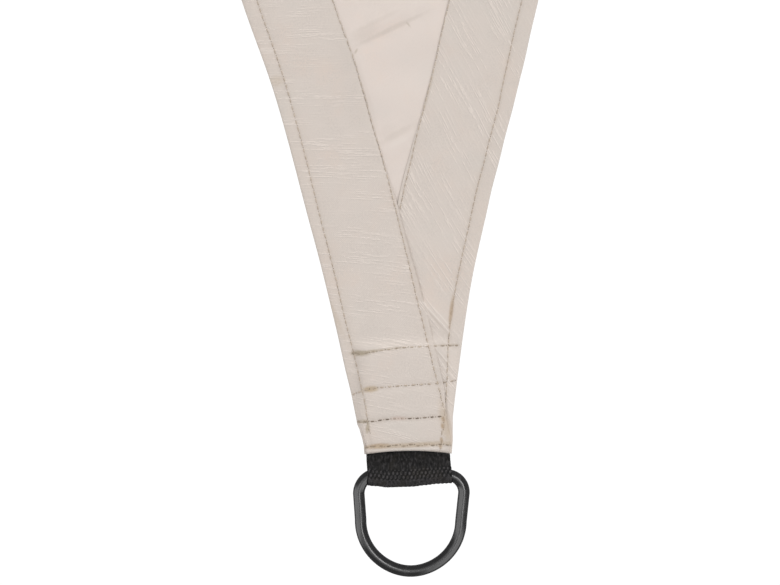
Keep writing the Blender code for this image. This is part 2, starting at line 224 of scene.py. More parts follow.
FIRST_CORNER = SewnCorner(
    left_edge=(
        (0, -0.4), (1.4, -0.45), (3.3, -0.7), (6, -0.5), (9.9, 0.05), (12.5, 0.75), (24, 0.85), (40, 1.3),
        (58, 1.2), (100, 0.9), (165, -0.5), (207, 0.8), (260, 0.4), (330, 0),
    ),
    right_edge=(
        (0, -0.42), (5, -0.4), (9.4, -0.77), (14.8, -1.2), (30, -1.2), (75, -1.72), (113, -0.75), (135, 0.15),
        (158, 0.95), (176, 1.2), (190, 0.9), (230, 0.6), (330, 0),
    ),
    left_outer_seam=(
        (0, -3.7), (8.7, -3.6), (10.4, -2.6), (13.4, -2.15), (17, -1.95), (21, -1.6), (28, -1.75),
        (40, -1.55), (60, -2.1), (80, -1.9), (100, -1.7), (140, -1.15), (200, -0.35),
    ),
    right_outer_seam=(
        (0, -3.2), (20, -3.05), (31, -2.3), (38, -1.65), (47, -0.85), (60, -0.3), (90, -0.45), (112, -0.3),
        (135, -0.35), (152, -0.42), (172, 0.28), (182, 0.4), (240, 0),
    ),
    left_inner_seam=(
        (0, -4.85), (2.5, -4.75), (5.1, -3.7), (7.9, -2.8), (10.4, -1.35), (13.3, -0.2), (15.7, 0.7),
        (18.3, 1.05), (21.5, 0.5), (30, 0.35), (40, 0.15), (55, -0.2), (70, -0.45), (90, -0.25), (110, 0.05),
        (130, 0.2), (150, -0.3), (165, -0.15), (180, 0.2), (205, 0.1),
    ),
    right_inner_seam=(
        (0, -0.5), (60, -0.58), (85, -0.3), (112, -0.25), (130, 0.08), (150, 0.28), (172, 0.1), (260, 0),
    ),
    left_hem=(
        (0, -0.9), (5.7, -0.95), (7.9, -1.7), (9.4, -1.6), (12.6, -0.95), (15.9, -0.7), (21, 0.05),
        (26.6, 0.65), (32, 0.9), (40, 0.9), (55, 0.75), (70, 0.55), (90, -0.25), (110, -0.55), (130, -1.5),
        (150, -2.05), (165, -1.8), (180, -1.35), (300, -1.3),
    ),
    right_hem=(
        (0, -1.0), (60, -1.0), (85, -0.65), (112, -0.5), (128, -0.3), (140, -0.75), (150, -1.1), (172, -1.4),
        (201, -1.45), (300, -1.4),
    ),
    end_arch=(-0.3, -0.028, -0.0038),
    fold_painted_shade=((26, 0.2), (45, 0.45), (59, 0.35), (73, 1.0), (86, 0.75), (100, 0.9), (112, 0.0)),
    rows=(
        Row(
            line=(
                (-23.6, 45.0), (-20.7, 44.7), (-16.1, 45.2), (-10.4, 45.8), (-2.1, 46.7), (15.7, 46.9),
                (24, 46.7),
            ),
            dirt=((-24, 0.4), (-12, 0.0), (-5, 0.25), (2, 0.3), (6, 0.0), (13, 0.1), (17, 0.5), (25, 0.5)),
        ),
        Row(
            line=(
                (-24.0, 26.2), (-20.5, 27.4), (-16.7, 28.5), (-12.6, 28.9), (-0.8, 29.4), (14.3, 29.8),
                (21.0, 30.6),
            ),
            dirt=((-24, 0.0), (-12, 0.0), (0, 0.1), (12, 0.0), (16, 0.45), (23, 0.3)),
        ),
        Row(
            line=(
                (-21.8, 13.6), (-15.3, 13.7), (-12.0, 14.1), (-5.4, 14.6), (3.7, 14.3), (8.3, 14.5),
                (14.9, 14.8),
            ),
            dirt=((-22, 0.5), (-16, 0.8), (-9, 1.0), (-6, 0.35), (-1, 0.35), (1, 0.9), (8, 0.7), (15, 1.0)),
        ),
        Row(
            line=(
                (-18.6, 3.05), (-17.6, 3.0), (-10, 2.56), (0, 2.55), (10, 2.75), (14, 3.3), (17, 3.4),
                (18.0, 3.4),
            ),
            wiggle=0.30,
            dirt=((-20, 0.7), (-13, 0.3), (-9, 0.75), (-3, 0.3), (2, 0.7), (8, 0.35), (13, 0.8), (20, 0.5)),
        ),
    ),
    creases=(
        Crease(Layer.PANEL, ((-17.1, 191.4), (-6.5, 196), (4.2, 200.7)), -0.9, 1.8),
        Crease(Layer.PANEL, ((-17.4, 184.5), (1.3, 192.5), (16, 199)), -1.5, 2.2),
        Crease(Layer.PANEL, ((-14, 176), (0, 182), (18, 188)), 1.2, 7.0),
        Crease(Layer.PANEL, ((-6.2, 139.2), (1.5, 143.6), (8.2, 146.7)), -1.2, 2.2),
        Crease(Layer.PANEL, ((-17, 166), (14, 158)), 0.9, 9.0),
        Crease(Layer.LEFT_HEM, ((-48, 167), (-32, 175.5)), -0.5, 4.5),
        Crease(Layer.LEFT_HEM, ((-30, 96), (-12, 122)), 0.35, 7.0),
        Crease(Layer.RIGHT_HEM, ((9.0, 66), (21.5, 52)), 0.75, 2.6),
        Crease(Layer.RIGHT_HEM, ((12.5, 50), (22.5, 36)), 0.4, 2.4),
        Crease(Layer.RIGHT_HEM, ((14, 100), (34, 120)), -0.4, 5.0),
    ),
    stains_and_painted_light=(
        StainOrPaintedLight(SoilOrPaintedLight.OLIVE, (-20.4, 44.8), (4.6, 1.5), -2, 0.95),
        StainOrPaintedLight(SoilOrPaintedLight.OLIVE, (-15.2, 45.4), (4.6, 0.9), 5, 0.70),
        StainOrPaintedLight(SoilOrPaintedLight.OLIVE, (-6.0, 46.3), (9.0, 0.7), 4, 0.35),
        StainOrPaintedLight(SoilOrPaintedLight.OLIVE, (20.0, 47.0), (6.0, 0.7), 0, 0.35),
        StainOrPaintedLight(SoilOrPaintedLight.TAN, (-16.0, 28.3), (4.0, 1.5), 3, 1.0),
        StainOrPaintedLight(SoilOrPaintedLight.OLIVE, (-20.0, 13.7), (3.0, 1.0), 0, 0.80),
        StainOrPaintedLight(SoilOrPaintedLight.RUST, (-13.6, 2.4), (5.4, 1.3), 2, 0.95),
        StainOrPaintedLight(SoilOrPaintedLight.TAN, (1.0, 2.2), (24.0, 1.35), 1, 0.62),
        StainOrPaintedLight(SoilOrPaintedLight.RUST, (22.0, 62.4), (7.4, 0.95), 81, 0.85),
        StainOrPaintedLight(SoilOrPaintedLight.TAN, (17.5, 11.0), (10.0, 2.4), -79, 0.50),
        StainOrPaintedLight(SoilOrPaintedLight.OLIVE, (-18.0, 10.8), (2.8, 1.0), 80, 0.90),
        StainOrPaintedLight(SoilOrPaintedLight.TAN, (-33.0, 66.0), (18.0, 1.8), -66, 0.25),
        StainOrPaintedLight(SoilOrPaintedLight.ROSE, (-3.4, 14.6), (4.0, 1.1), -1, 0.60),
        StainOrPaintedLight(SoilOrPaintedLight.TAN, (-53.6, 170.3), (4.0, 2.6), 0, 0.30),
        # Painted shade and painted highlight along the open panel's creases.
        StainOrPaintedLight(SoilOrPaintedLight.PAINTED_SHADE, (-0.8, 191.8), (18.2, 1.3), 23.4, 0.36),
        StainOrPaintedLight(SoilOrPaintedLight.PAINTED_SHADE, (-6.5, 196.0), (11.6, 1.2), 23.6, 0.18),
        StainOrPaintedLight(SoilOrPaintedLight.PAINTED_SHADE, (-13.0, 190.5), (7.0, 3.4), 24, 0.20),
        StainOrPaintedLight(SoilOrPaintedLight.PAINTED_SHADE, (-0.4, 143.7), (9.0, 1.6), 27.5, 0.24),
        StainOrPaintedLight(SoilOrPaintedLight.PAINTED_SHADE, (-4.0, 145.5), (4.5, 3.4), 27, 0.12),
        StainOrPaintedLight(SoilOrPaintedLight.PAINTED_HIGHLIGHT, (1.8, 141.0), (7.0, 1.5), 27.5, 0.35),
        # Painted shade along the right hem's fold edge, in the olive colour.
        StainOrPaintedLight(SoilOrPaintedLight.OLIVE, (15.1, 161.9), (10.0, 0.7), 72.8, 0.30),
        # Painted shade beside the left hem's fold edge, on the open panel.
        StainOrPaintedLight(SoilOrPaintedLight.PAINTED_SHADE, (-11.6, 158.0), (19.5, 1.4), -76.5, 0.10),
        # Painted shade of a small crease beside the left hem, in the olive colour.
        StainOrPaintedLight(SoilOrPaintedLight.OLIVE, (-17.0, 182.3), (1.4, 0.6), 60, 0.50),
        StainOrPaintedLight(SoilOrPaintedLight.RUST, (16.5, 13.5), (1.5, 0.8), -70, 0.90),
        StainOrPaintedLight(SoilOrPaintedLight.RUST, (16.1, 10.3), (1.5, 0.8), -80, 0.90),
        StainOrPaintedLight(SoilOrPaintedLight.RUST, (15.4, 4.0), (1.5, 0.8), -85, 0.90),
        StainOrPaintedLight(SoilOrPaintedLight.RUST, (14.8, 1.0), (1.1, 0.8), -60, 0.85),
        # Painted highlight along the cloth's end.
        StainOrPaintedLight(SoilOrPaintedLight.PAINTED_HIGHLIGHT, (0.0, 0.3), (18.0, 0.9), 0, 0.60),
        StainOrPaintedLight(SoilOrPaintedLight.OLIVE, (7.2, 193.7), (1.6, 0.45), -52, 0.45),
        # Painted highlight and painted shade along small pull creases of the right hem.
        StainOrPaintedLight(SoilOrPaintedLight.PAINTED_HIGHLIGHT, (15.4, 59.6), (8.4, 0.30), -50, 0.75),
        StainOrPaintedLight(SoilOrPaintedLight.PAINTED_SHADE, (14.8, 58.6), (8.0, 0.40), -51, 0.60),
        StainOrPaintedLight(SoilOrPaintedLight.PAINTED_HIGHLIGHT, (16.6, 61.2), (7.4, 0.26), -49, 0.55),
        StainOrPaintedLight(SoilOrPaintedLight.PAINTED_HIGHLIGHT, (18.4, 40.6), (6.4, 0.30), -52, 0.75),
        StainOrPaintedLight(SoilOrPaintedLight.PAINTED_SHADE, (17.6, 40.8), (6.0, 0.36), -52, 0.50),
        StainOrPaintedLight(SoilOrPaintedLight.PAINTED_HIGHLIGHT, (16.4, 39.8), (5.4, 0.28), -57, 0.60),
        # Painted shade: a thin darker line on the right hem.
        StainOrPaintedLight(SoilOrPaintedLight.PAINTED_SHADE, (18.9, 14.4), (8.0, 0.45), -80, 0.55),
    ),
)

SECOND_CORNER = SewnCorner(
    left_edge=((0, 0), (40, -0.8), (95, -1.2), (160, 0.6), (240, 0.3), (330, 0)),
    right_edge=((0, 0), (45, 0.9), (110, 1.3), (180, -0.6), (330, 0)),
    left_outer_seam=((0, -3.2), (14, -2.4), (50, -1.2), (120, -0.5), (230, 0)),
    right_outer_seam=((0, -3), (26, -2.2), (60, -0.6), (150, 0.4), (240, 0)),
    left_inner_seam=((0, -3.2), (7, -2.4), (16, 0.5), (60, 0.4), (140, -0.4), (240, 0)),
    right_inner_seam=((0, -0.4), (130, -0.4), (190, 0.2), (260, 0)),
    left_hem=((0, -1.0), (16, 0.2), (60, 0.6), (140, -0.2), (300, 0)),
    right_hem=((0, -0.8), (150, -0.6), (300, 0)),
    end_arch=(-0.6, 0.012, -0.0022),
    fold_painted_shade=((30, 0.3), (60, 0.6), (90, 0.5), (110, 0.0)),
    rows=(
        Row(((-23.0, 46.8), (-6.0, 45.9), (8.0, 45.6), (24.6, 44.4)), ((-23, 0.2), (0, 0.4), (24, 0.15))),
        Row(((-23.6, 30.2), (-4.0, 29.4), (10.0, 29.3), (23.4, 28.4)), ((-24, 0.4), (2, 0.15), (23, 0.5))),
        Row(((-21.8, 15.0), (-8.0, 14.4), (6.0, 14.7), (16.0, 14.1)), ((-22, 0.6), (-2, 0.8), (16, 0.5))),
        Row(((-19.6, 2.6), (-6.0, 2.0), (7.0, 2.5), (19.6, 2.1)), ((-20, 0.5), (4, 0.3), (20, 0.6))),
    ),
    creases=(
        Crease(Layer.PANEL, ((-16, 180), (4, 192), (20, 196)), -0.7, 3.8),
        Crease(Layer.PANEL, ((-9, 148), (10, 153)), -0.5, 3.6),
        Crease(Layer.LEFT_HEM, ((-42, 140), (-26, 152)), -0.45, 4.5),
        Crease(Layer.RIGHT_HEM, ((10, 60), (22, 45)), 0.6, 2.6),
    ),
    stains_and_painted_light=(
        StainOrPaintedLight(SoilOrPaintedLight.OLIVE, (19.4, 44.9), (3.6, 1.0), -3, 0.6),
        StainOrPaintedLight(SoilOrPaintedLight.TAN, (15.8, 28.7), (3.8, 1.1), -3, 0.65),
        StainOrPaintedLight(SoilOrPaintedLight.TAN, (0.0, 2.2), (20.0, 0.9), 0, 0.4),
        StainOrPaintedLight(SoilOrPaintedLight.RUST, (-27.6, 58.0), (5.0, 0.7), -76, 0.5),
    ),
)

THIRD_CORNER = SewnCorner(
    left_edge=((0, 0), (60, 0.7), (130, -0.9), (200, 0.5), (330, 0)),
    right_edge=((0, 0), (55, -0.6), (120, 0.9), (210, -0.4), (330, 0)),
    left_outer_seam=((0, -3.0), (12, -2.2), (60, -1.4), (150, -0.4), (230, 0)),
    right_outer_seam=((0, -3), (24, -2.4), (70, -0.5), (240, 0)),
    left_inner_seam=((0, -3.4), (6, -2.6), (15, 0.3), (70, 0.2), (240, 0)),
    right_inner_seam=((0, -0.3), (140, -0.3), (260, 0)),
    left_hem=((0, -1.1), (14, 0.1), (70, 0.5), (300, 0)),
    right_hem=((0, -0.9), (160, -0.4), (300, 0)),
    end_arch=(-0.5, -0.01, -0.0026),
    fold_painted_shade=((30, 0.4), (70, 0.7), (95, 0.4), (110, 0.0)),
    rows=(
        Row(((-23.4, 44.6), (-4.0, 45.6), (9.0, 46.3), (24.8, 46.6)), ((-23, 0.5), (-4, 0.2), (24, 0.3))),
        Row(((-23.8, 27.6), (-6.0, 28.6), (8.0, 28.5), (23.2, 29.6)), ((-24, 0.3), (6, 0.3), (23, 0.1))),
        Row(((-22.0, 13.8), (-6.0, 14.9), (5.0, 14.6), (15.6, 15.2)), ((-22, 0.7), (4, 0.4), (15, 0.8))),
        Row(((-19.8, 1.8), (-5.0, 2.3), (8.0, 2.0), (19.6, 2.7)), ((-20, 0.4), (0, 0.5), (20, 0.4))),
    ),
    creases=(
        Crease(Layer.PANEL, ((-18, 196), (0, 188), (16, 184)), -0.6, 3.8),
        Crease(Layer.PANEL, ((-6, 150), (9, 142)), -0.5, 3.4),
        Crease(Layer.RIGHT_HEM, ((9.5, 70), (21, 56)), 0.6, 2.6),
        Crease(Layer.RIGHT_HEM, ((30, 150), (48, 160)), -0.4, 4.5),
    ),
    stains_and_painted_light=(
        StainOrPaintedLight(SoilOrPaintedLight.TAN, (-19.8, 44.9), (4.0, 1.0), 3, 0.6),
        StainOrPaintedLight(SoilOrPaintedLight.OLIVE, (-17.6, 27.9), (3.2, 1.0), 3, 0.6),
        StainOrPaintedLight(SoilOrPaintedLight.RUST, (12.0, 2.3), (6.0, 1.0), 4, 0.5),
        StainOrPaintedLight(SoilOrPaintedLight.TAN, (0.0, 2.1), (20.0, 0.9), 1, 0.35),
    ),
)


# --- The sail's plan ---


@dataclass(frozen=True)
class SailCut:
    """The sail's driving dimensions, as its solids have them.

    Attributes:
        side: between the middles of two neighbouring corner ends.
        hollow: how far the middle of a side is cut in from the straight.
        corner_end: width of the blunt cloth end.
        flare: how far each edge swings out to make room for the webbing.
        flare_reach: the distance over which the flare dies out.
        tail: how far both ends of a webbing loop reach into the corner.
        webbing_width: width of the webbing.
    """

    side: float = 3.0
    hollow: float = 205 * MM
    corner_end: float = 40.6 * MM
    flare: float = 12.2 * MM
    flare_reach: float = 86 * MM
    tail: float = 46 * MM
    webbing_width: float = 38 * MM

    @property
    def corner_radius(self) -> float:
        """Distance from the middle of the sail to a corner end."""
        return self.side / math.sqrt(3)


@dataclass(frozen=True)
class Ripple:
    """A soft wave of the panel where it doesn't lie down flat, as the solids have it."""

    start: tuple[float, float]
    end: tuple[float, float]
    height: float
    spread: float

    def rise(self, point: Vector) -> float:
        """Height that the ripple adds at a point of the plan.

        Args:
            point: a plan point.

        Returns:
            The height.
        """
        start, end = Vector(self.start), Vector(self.end)
        run = end - start
        t = clamp((point - start).dot(run) / run.length_squared, 0.0, 1.0)
        off = (point - start - run * t).length / self.spread
        return self.height * smooth(2.5 * min(t, 1 - t)) * (1 - smooth(off))


RIPPLES = (
    Ripple((-0.05, -1.42), (-0.24, -0.42), 7 * MM, 0.12),
    Ripple((1.22, 0.62), (0.42, 0.10), 6 * MM, 0.13),
    Ripple((-1.24, 0.72), (-0.38, 0.33), 8 * MM, 0.14),
    Ripple((0.22, -0.98), (0.47, -0.36), 5 * MM, 0.12),
    Ripple((-0.62, -0.02), (-0.30, 0.12), 6 * MM, 0.12),
    Ripple((-0.30, 0.74), (0.26, 0.42), 7 * MM, 0.15),
    Ripple((0.62, 0.66), (0.78, 0.34), 6 * MM, 0.12),
)


class Corner:
    """A blunt corner end: where it is, which way is inwards, which way is right, and how it was sewn."""

    def __init__(self, cut: SailCut, index: int, sewn: SewnCorner) -> None:
        """Place the corner.

        Args:
            cut: the sail's dimensions.
            index: 0 for the corner that points to -Y, then counter-clockwise.
            sewn: how this corner came out.
        """
        self.cut = cut
        self.index = index
        self.sewn = sewn
        self.turn = math.tau / CORNERS * index
        outwards = Vector((math.sin(self.turn), -math.cos(self.turn)))
        self.inwards = -outwards
        self.right = Vector((self.inwards.y, -self.inwards.x))
        self.end = outwards * cut.corner_radius

    def point(self, x: float, y: float) -> Vector:
        """Plan point of a place in the corner's frame."""
        return self.end + self.right * x + self.inwards * y

    def local(self, point: Vector) -> tuple[float, float]:
        """Place of a plan point in the corner's frame."""
        off = point - self.end
        return off.dot(self.right), off.dot(self.inwards)

    def arched(self, x: float, y: float) -> Vector:
        """Plan point of a place, with the cloth's end drawn to its shallow arch.

        Args:
            x: place across the corner, in metres.
            y: distance from the corner's end, in metres.

        Returns:
            The plan point.
        """
        constant, slope, bow = self.sewn.end_arch
        shift = (constant + slope * x / MM + bow * (x / MM) ** 2) * MM
        return self.point(x, y + shift * (1 - smooth(y / ARCH_REACH)))

    def matrix(self) -> Matrix:
        """Turn and move from the corner's frame to the sail's."""
        return Matrix.Translation((self.end.x, self.end.y, 0)) @ Matrix.Rotation(self.turn, 4, "Z")

    def crease_rise(self, layer: Layer, x: float, y: float) -> float:
        """Height that the corner's creases add to a layer at a place of the corner."""
        return sum(crease.rise(x, y) for crease in self.sewn.creases if crease.on is layer)

    def row_sink(self, x: float, y: float) -> float:
        """How deep the rows of stitches draw the cloth down at a place of the corner.

        Args:
            x: place across the corner, in metres.
            y: distance from the corner's end, in metres.

        Returns:
            The share of the full depth.
        """
        sink = 0.0
        for row in self.sewn.rows:
            if row.line[0][0] * MM - 1 * MM < x < row.line[-1][0] * MM + 1 * MM:
                sink = max(sink, bell(y - straight(row.line, x / MM) * MM, 1.5 * MM))
        return sink


@dataclass
class Station:
    """One cross line of a hem.

    Attributes:
        outer: plan point of the cut edge's fold.
        along: which way the edge would run here if it had been cut fair.
        cross: what a point moves for each metre that it lies further from the edge.
        corner: the nearer corner.
        is_left: whether this hem is the left one at that corner, which lies on top.
        reach: distance from the corner's end.
        outer_seam, inner_seam, hem: distances of both seams and of the hem's free edge from the edge.
    """

    outer: Vector
    along: Vector
    cross: Vector
    corner: Corner
    is_left: bool
    reach: float
    outer_seam: float
    inner_seam: float
    hem: float

    def at(self, distance: float) -> Vector:
        """Plan point at a distance from the edge."""
        return self.outer + self.cross * distance

    def cut_place(self, distance: float) -> Vector:
        """Where a point of the hem lay before the hem was folded over.

        Args:
            distance: from the cut edge's fold.

        Returns:
            The plan point.
        """
        inwards = Vector((-self.along.y, self.along.x))
        step = self.cross * distance
        return self.outer + self.along * step.dot(self.along) - inwards * step.dot(inwards)


class Side:
    """The cut edge from one corner to the next, counter-clockwise, and the hem folded along it."""

    OUTER_SEAM = 7.0 * MM
    INNER_SEAM = 39.3 * MM
    HEM = 41.4 * MM
    SEAM_ROOM = 0.55 * MM  # at least, from the inner seam to the hem's free edge
    LEFT_ROOM, RIGHT_ROOM = 0.8 * MM, 1.7 * MM  # at least, from a hem's free edge to the opposite edge
    STRAIGHTENS = 0.25  # past the corner zone, the distance in which cross lines turn square to the edge
    ZONE = 240 * MM  # length of the corner zone, where cross lines run parallel to the corner's end

    def __init__(self, cut: SailCut, index: int, corners: Sequence[Corner]) -> None:
        """Lay out the edge between two corners.

        Args:
            cut: the sail's dimensions.
            index: number of the corner where the side starts.
            corners: all corners.
        """
        self.cut = cut
        self.index = index
        self.first = corners[index]
        self.last = corners[(index + 1) % CORNERS]
        inset = cut.corner_end / 2 - cut.flare
        self.start = self.first.point(inset, 0)
        chord = self.last.point(-inset, 0) - self.start
        self.length = chord.length
        self.chord_along = chord.normalized()
        self.chord_inwards = Vector((-self.chord_along.y, self.chord_along.x))

    def share(self, y: float) -> float:
        """Share of the side's length at which its edge is the distance y in from the first corner's end.

        Args:
            y: distance from the first corner's end.

        Returns:
            The share.
        """
        bow = 4 * self.cut.hollow * self.chord_inwards.dot(self.first.inwards)
        run = self.length * self.chord_along.dot(self.first.inwards) + bow
        return 2 * y / (run + math.sqrt(run * run - 4 * bow * y))

    def edge(self, t: float, strays: float = 1.0) -> Vector:
        """Point of the cloth's outer edge: a shallow bow, flared and a little uneven near both corners.

        Args:
            t: share of the side's length.
            strays: how much of the edge's unevenness it has.

        Returns:
            The plan point.
        """
        bow = self.chord_inwards * (4 * self.cut.hollow * t * (1 - t))
        point = self.start + self.chord_along * (self.length * t) + bow
        ends = ((self.first, 1, self.first.sewn.right_edge), (self.last, -1, self.last.sewn.left_edge))
        for corner, way, drift in ends:
            reach = (point - corner.end).dot(corner.inwards)
            out = self.cut.flare * math.exp(-reach / self.cut.flare_reach)
            out += strays * eased(drift, reach / MM) * MM
            point = point + corner.right * (way * out)
        return point

    def station(self, t: float) -> Station:
        """The cross line at a share t of the side's length.

        Args:
            t: share of the side's length.

        Returns:
            The cross line.
        """
        step = 2e-4
        outer = self.edge(t)
        along = (self.edge(t + step, 0.0) - self.edge(t - step, 0.0)).normalized()
        square = Vector((-along.y, along.x))
        cross = square.copy()
        reaches = []
        for corner in (self.first, self.last):
            reach = (outer - corner.end).dot(corner.inwards)
            keep = 1 - smooth((reach - self.ZONE) / self.STRAIGHTENS)
            cross = cross - along * (keep * square.dot(corner.inwards) / along.dot(corner.inwards))
            reaches.append(reach)
        is_left = reaches[1] < reaches[0]
        corner = self.last if is_left else self.first
        reach = min(reaches)
        sewn = corner.sewn
        if is_left:
            drifts = (sewn.left_outer_seam, sewn.left_inner_seam, sewn.left_hem)
        else:
            drifts = (sewn.right_outer_seam, sewn.right_inner_seam, sewn.right_hem)
        sizes = (self.OUTER_SEAM, self.INNER_SEAM, self.HEM)
        outer_seam, inner_seam, hem = (
            size + eased(drift, reach / MM) * MM for size, drift in zip(sizes, drifts)
        )
        half = abs(corner.local(outer)[0])
        room = (2 * half - (self.LEFT_ROOM if is_left else self.RIGHT_ROOM)) / cross.length
        hem = min(hem, room)
        inner_seam = min(inner_seam, hem - self.SEAM_ROOM)
        return Station(outer, along, cross, corner, is_left, reach, outer_seam, inner_seam, hem)


# --- The cloth ---


@dataclass
class HemRow:
    """Vertices on one cross line: of the hem, and of the panel's columns under it."""

    station: Station
    y: float | None
    hem: list[int]
    base: list[int] = field(default_factory=list)


@dataclass
class SailCloth:
    """The whole cloth as one folded sheet: panel, three hems folded over, their raw edges turned in.

    Heights are those of the sheet's middle. At every corner the left hem lies over the right one, and both
    lie over the webbing's two tails.

    Attributes:
        sheet: the cloth's thickness.
        lies_at: height of the panel.
        flap_lift: of a hem's upper layer over the panel, tails_lift more over the tails, overlap_lift more
            where the left hem lies on the right one.
        turned_in: width of the raw edge turned in under a hem, which lifts it by turned_lift.
        comes_down: over which distance a hem comes down beside what lies under it.
        row_depth: how far a row of stitches draws a hem down, and end_drop the cloth's end.
        between_swell: how far a hem swells between its seams, in millimetres, and margin_swell outside them.
        seam_width: reach of the thread's pull beside a seam, and pucker_width of the puckers.
        under_hem: how far in from the edge the panel's own columns start.
    """

    cut: SailCut
    corners: Sequence[Corner]
    sides: Sequence[Side]
    sheet: float = 0.20 * MM
    lies_at: float = 0.11 * MM
    flap_lift: float = 0.26 * MM
    turned_in: float = 7 * MM
    turned_lift: float = 0.18 * MM
    tails_lift: float = 2.75 * MM
    overlap_lift: float = 0.62 * MM
    comes_down: float = 5 * MM
    row_depth: float = 0.3 * MM
    end_drop: float = 0.45 * MM
    between_swell: float = 0.34
    margin_swell: float = 0.22 * MM
    seam_width: float = 1.3 * MM
    pucker_width: float = 4.0 * MM
    under_hem: float = 38 * MM
    middle_rows: int = 110
    open_columns: int = 22
    panel_step: float = 32 * MM
    rows_in_zone: list[float] = field(default_factory=list)
    points: list[tuple[float, float, float]] = field(default_factory=list)
    cut_places: list[tuple[float, float]] = field(default_factory=list)
    handled: list[float] = field(default_factory=list)
    sewn: list[float] = field(default_factory=list)
    hem_edge: list[float] = field(default_factory=list)
    faces: list[tuple[int, ...]] = field(default_factory=list)

    def __post_init__(self) -> None:
        """Work out the rows of the corner zone: dense at the sewn end, wider apart further in."""
        spans = ((0.0, 50 * MM, 48), (50 * MM, 130 * MM, 34), (130 * MM, Side.ZONE, 31))
        self.rows_in_zone = [0.0, 0.6 * MM]
        for start, end, count in spans:
            self.rows_in_zone += [start + (end - start) * (i + 1) / count for i in range(count)]

    def panel_height(self, point: Vector, corner: Corner) -> float:
        """Height of the panel at a plan point.

        Args:
            point: a plan point.
            corner: the corner whose creases count.

        Returns:
            The height.
        """
        x, y = corner.local(point)
        height = self.lies_at + sum(ripple.rise(point) for ripple in RIPPLES)
        if y < Side.ZONE:
            height += max(corner.crease_rise(Layer.PANEL, x, y), 0.0) + self.sunk_crease(corner, x, y)
        return height

    def sunk_crease(self, corner: Corner, x: float, y: float) -> float:
        """Troughs of the open panel, made as ridges on either side because it can't go below the floor.

        Args:
            corner: the corner.
            x: place across the corner, in metres.
            y: distance from the corner's end, in metres.

        Returns:
            The height that they add.
        """
        rise = 0.0
        for crease in corner.sewn.creases:
            if crease.on is Layer.PANEL and crease.height < 0:
                wide = Crease(crease.on, crease.line, -crease.height * 1.35, crease.width * 2.1)
                rise += wide.rise(x, y) + crease.rise(x, y) * 1.35
        return max(rise, 0.0)

    def flap_height(self, station: Station, distance: float) -> float:
        """Height of a hem's upper layer at a distance from the edge.

        Args:
            station: the hem's cross line.
            distance: from the cut edge's fold.

        Returns:
            The height.
        """
        point = station.at(distance)
        corner = station.corner
        x, y = corner.local(point)
        panel = self.panel_height(point, corner)
        height = panel + self.puff(station, distance, point)
        if y > Side.ZONE:
            return height
        layer = Layer.LEFT_HEM if station.is_left else Layer.RIGHT_HEM
        height += corner.crease_rise(layer, x, y)
        half_webbing = self.cut.webbing_width / 2
        across = 1 - smooth((abs(x) - half_webbing + 0.5 * MM) / (6 * MM))
        height += self.tails_lift * across * (1 - smooth((y - self.cut.tail) / self.comes_down))
        height -= self.row_depth * corner.row_sink(x, y)
        if station.is_left:
            free = self.free_edge(corner, y, left=False)
            height += self.overlap_lift * smooth((x - free + self.comes_down) / self.comes_down)
            height -= self.end_drop * (1 - smooth(y / (1.2 * MM)))
        return max(height, panel + 1.1 * self.sheet)

    def puff(self, station: Station, distance: float, point: Vector) -> float:
        """Height of a hem's upper layer over the panel: swollen between its seams, drawn down at them.

        Args:
            station: the hem's cross line.
            distance: from the cut edge's fold.
            point: the same place on the plan.

        Returns:
            The height.
        """
        over_turned = smooth((distance - station.hem + self.turned_in) / (2.5 * MM))
        height = self.flap_lift + self.turned_lift * over_turned
        between = clamp((distance - station.outer_seam) / (station.inner_seam - station.outer_seam), 0, 1)
        uneven = 0.24 * unevenness(point, 34 * MM, 3.1), 0.12 * unevenness(point, 11 * MM, 8.7)
        swell = self.between_swell + uneven[0] + uneven[1]
        height += swell * MM * math.sin(math.pi * between) ** 0.7
        height += self.margin_swell * math.sin(math.pi * clamp(distance / station.outer_seam, 0, 1))
        for seam in (station.outer_seam, station.inner_seam):
            pucker = 0.5 + 0.5 * unevenness(point, 5 * MM, 1.7)
            height -= (0.04 + 0.06 * pucker) * MM * bell(distance - seam, self.seam_width)
            height += 0.07 * MM * pucker * bell(distance - seam, self.pucker_width)
        return height

    def free_edge(self, corner: Corner, y: float, left: bool) -> float:
        """Where, across a corner, the free edge of one of its hems is.

        Args:
            corner: the corner.
            y: distance from the corner's end.
            left: whether the left hem's edge is wanted, else the right one's.

        Returns:
            Its place to the right of the corner's middle.
        """
        side = self.sides[corner.index - 1 if left else corner.index]
        share = side.share(y)
        station = side.station(1 - share if left else share)
        return corner.local(station.at(station.hem))[0]

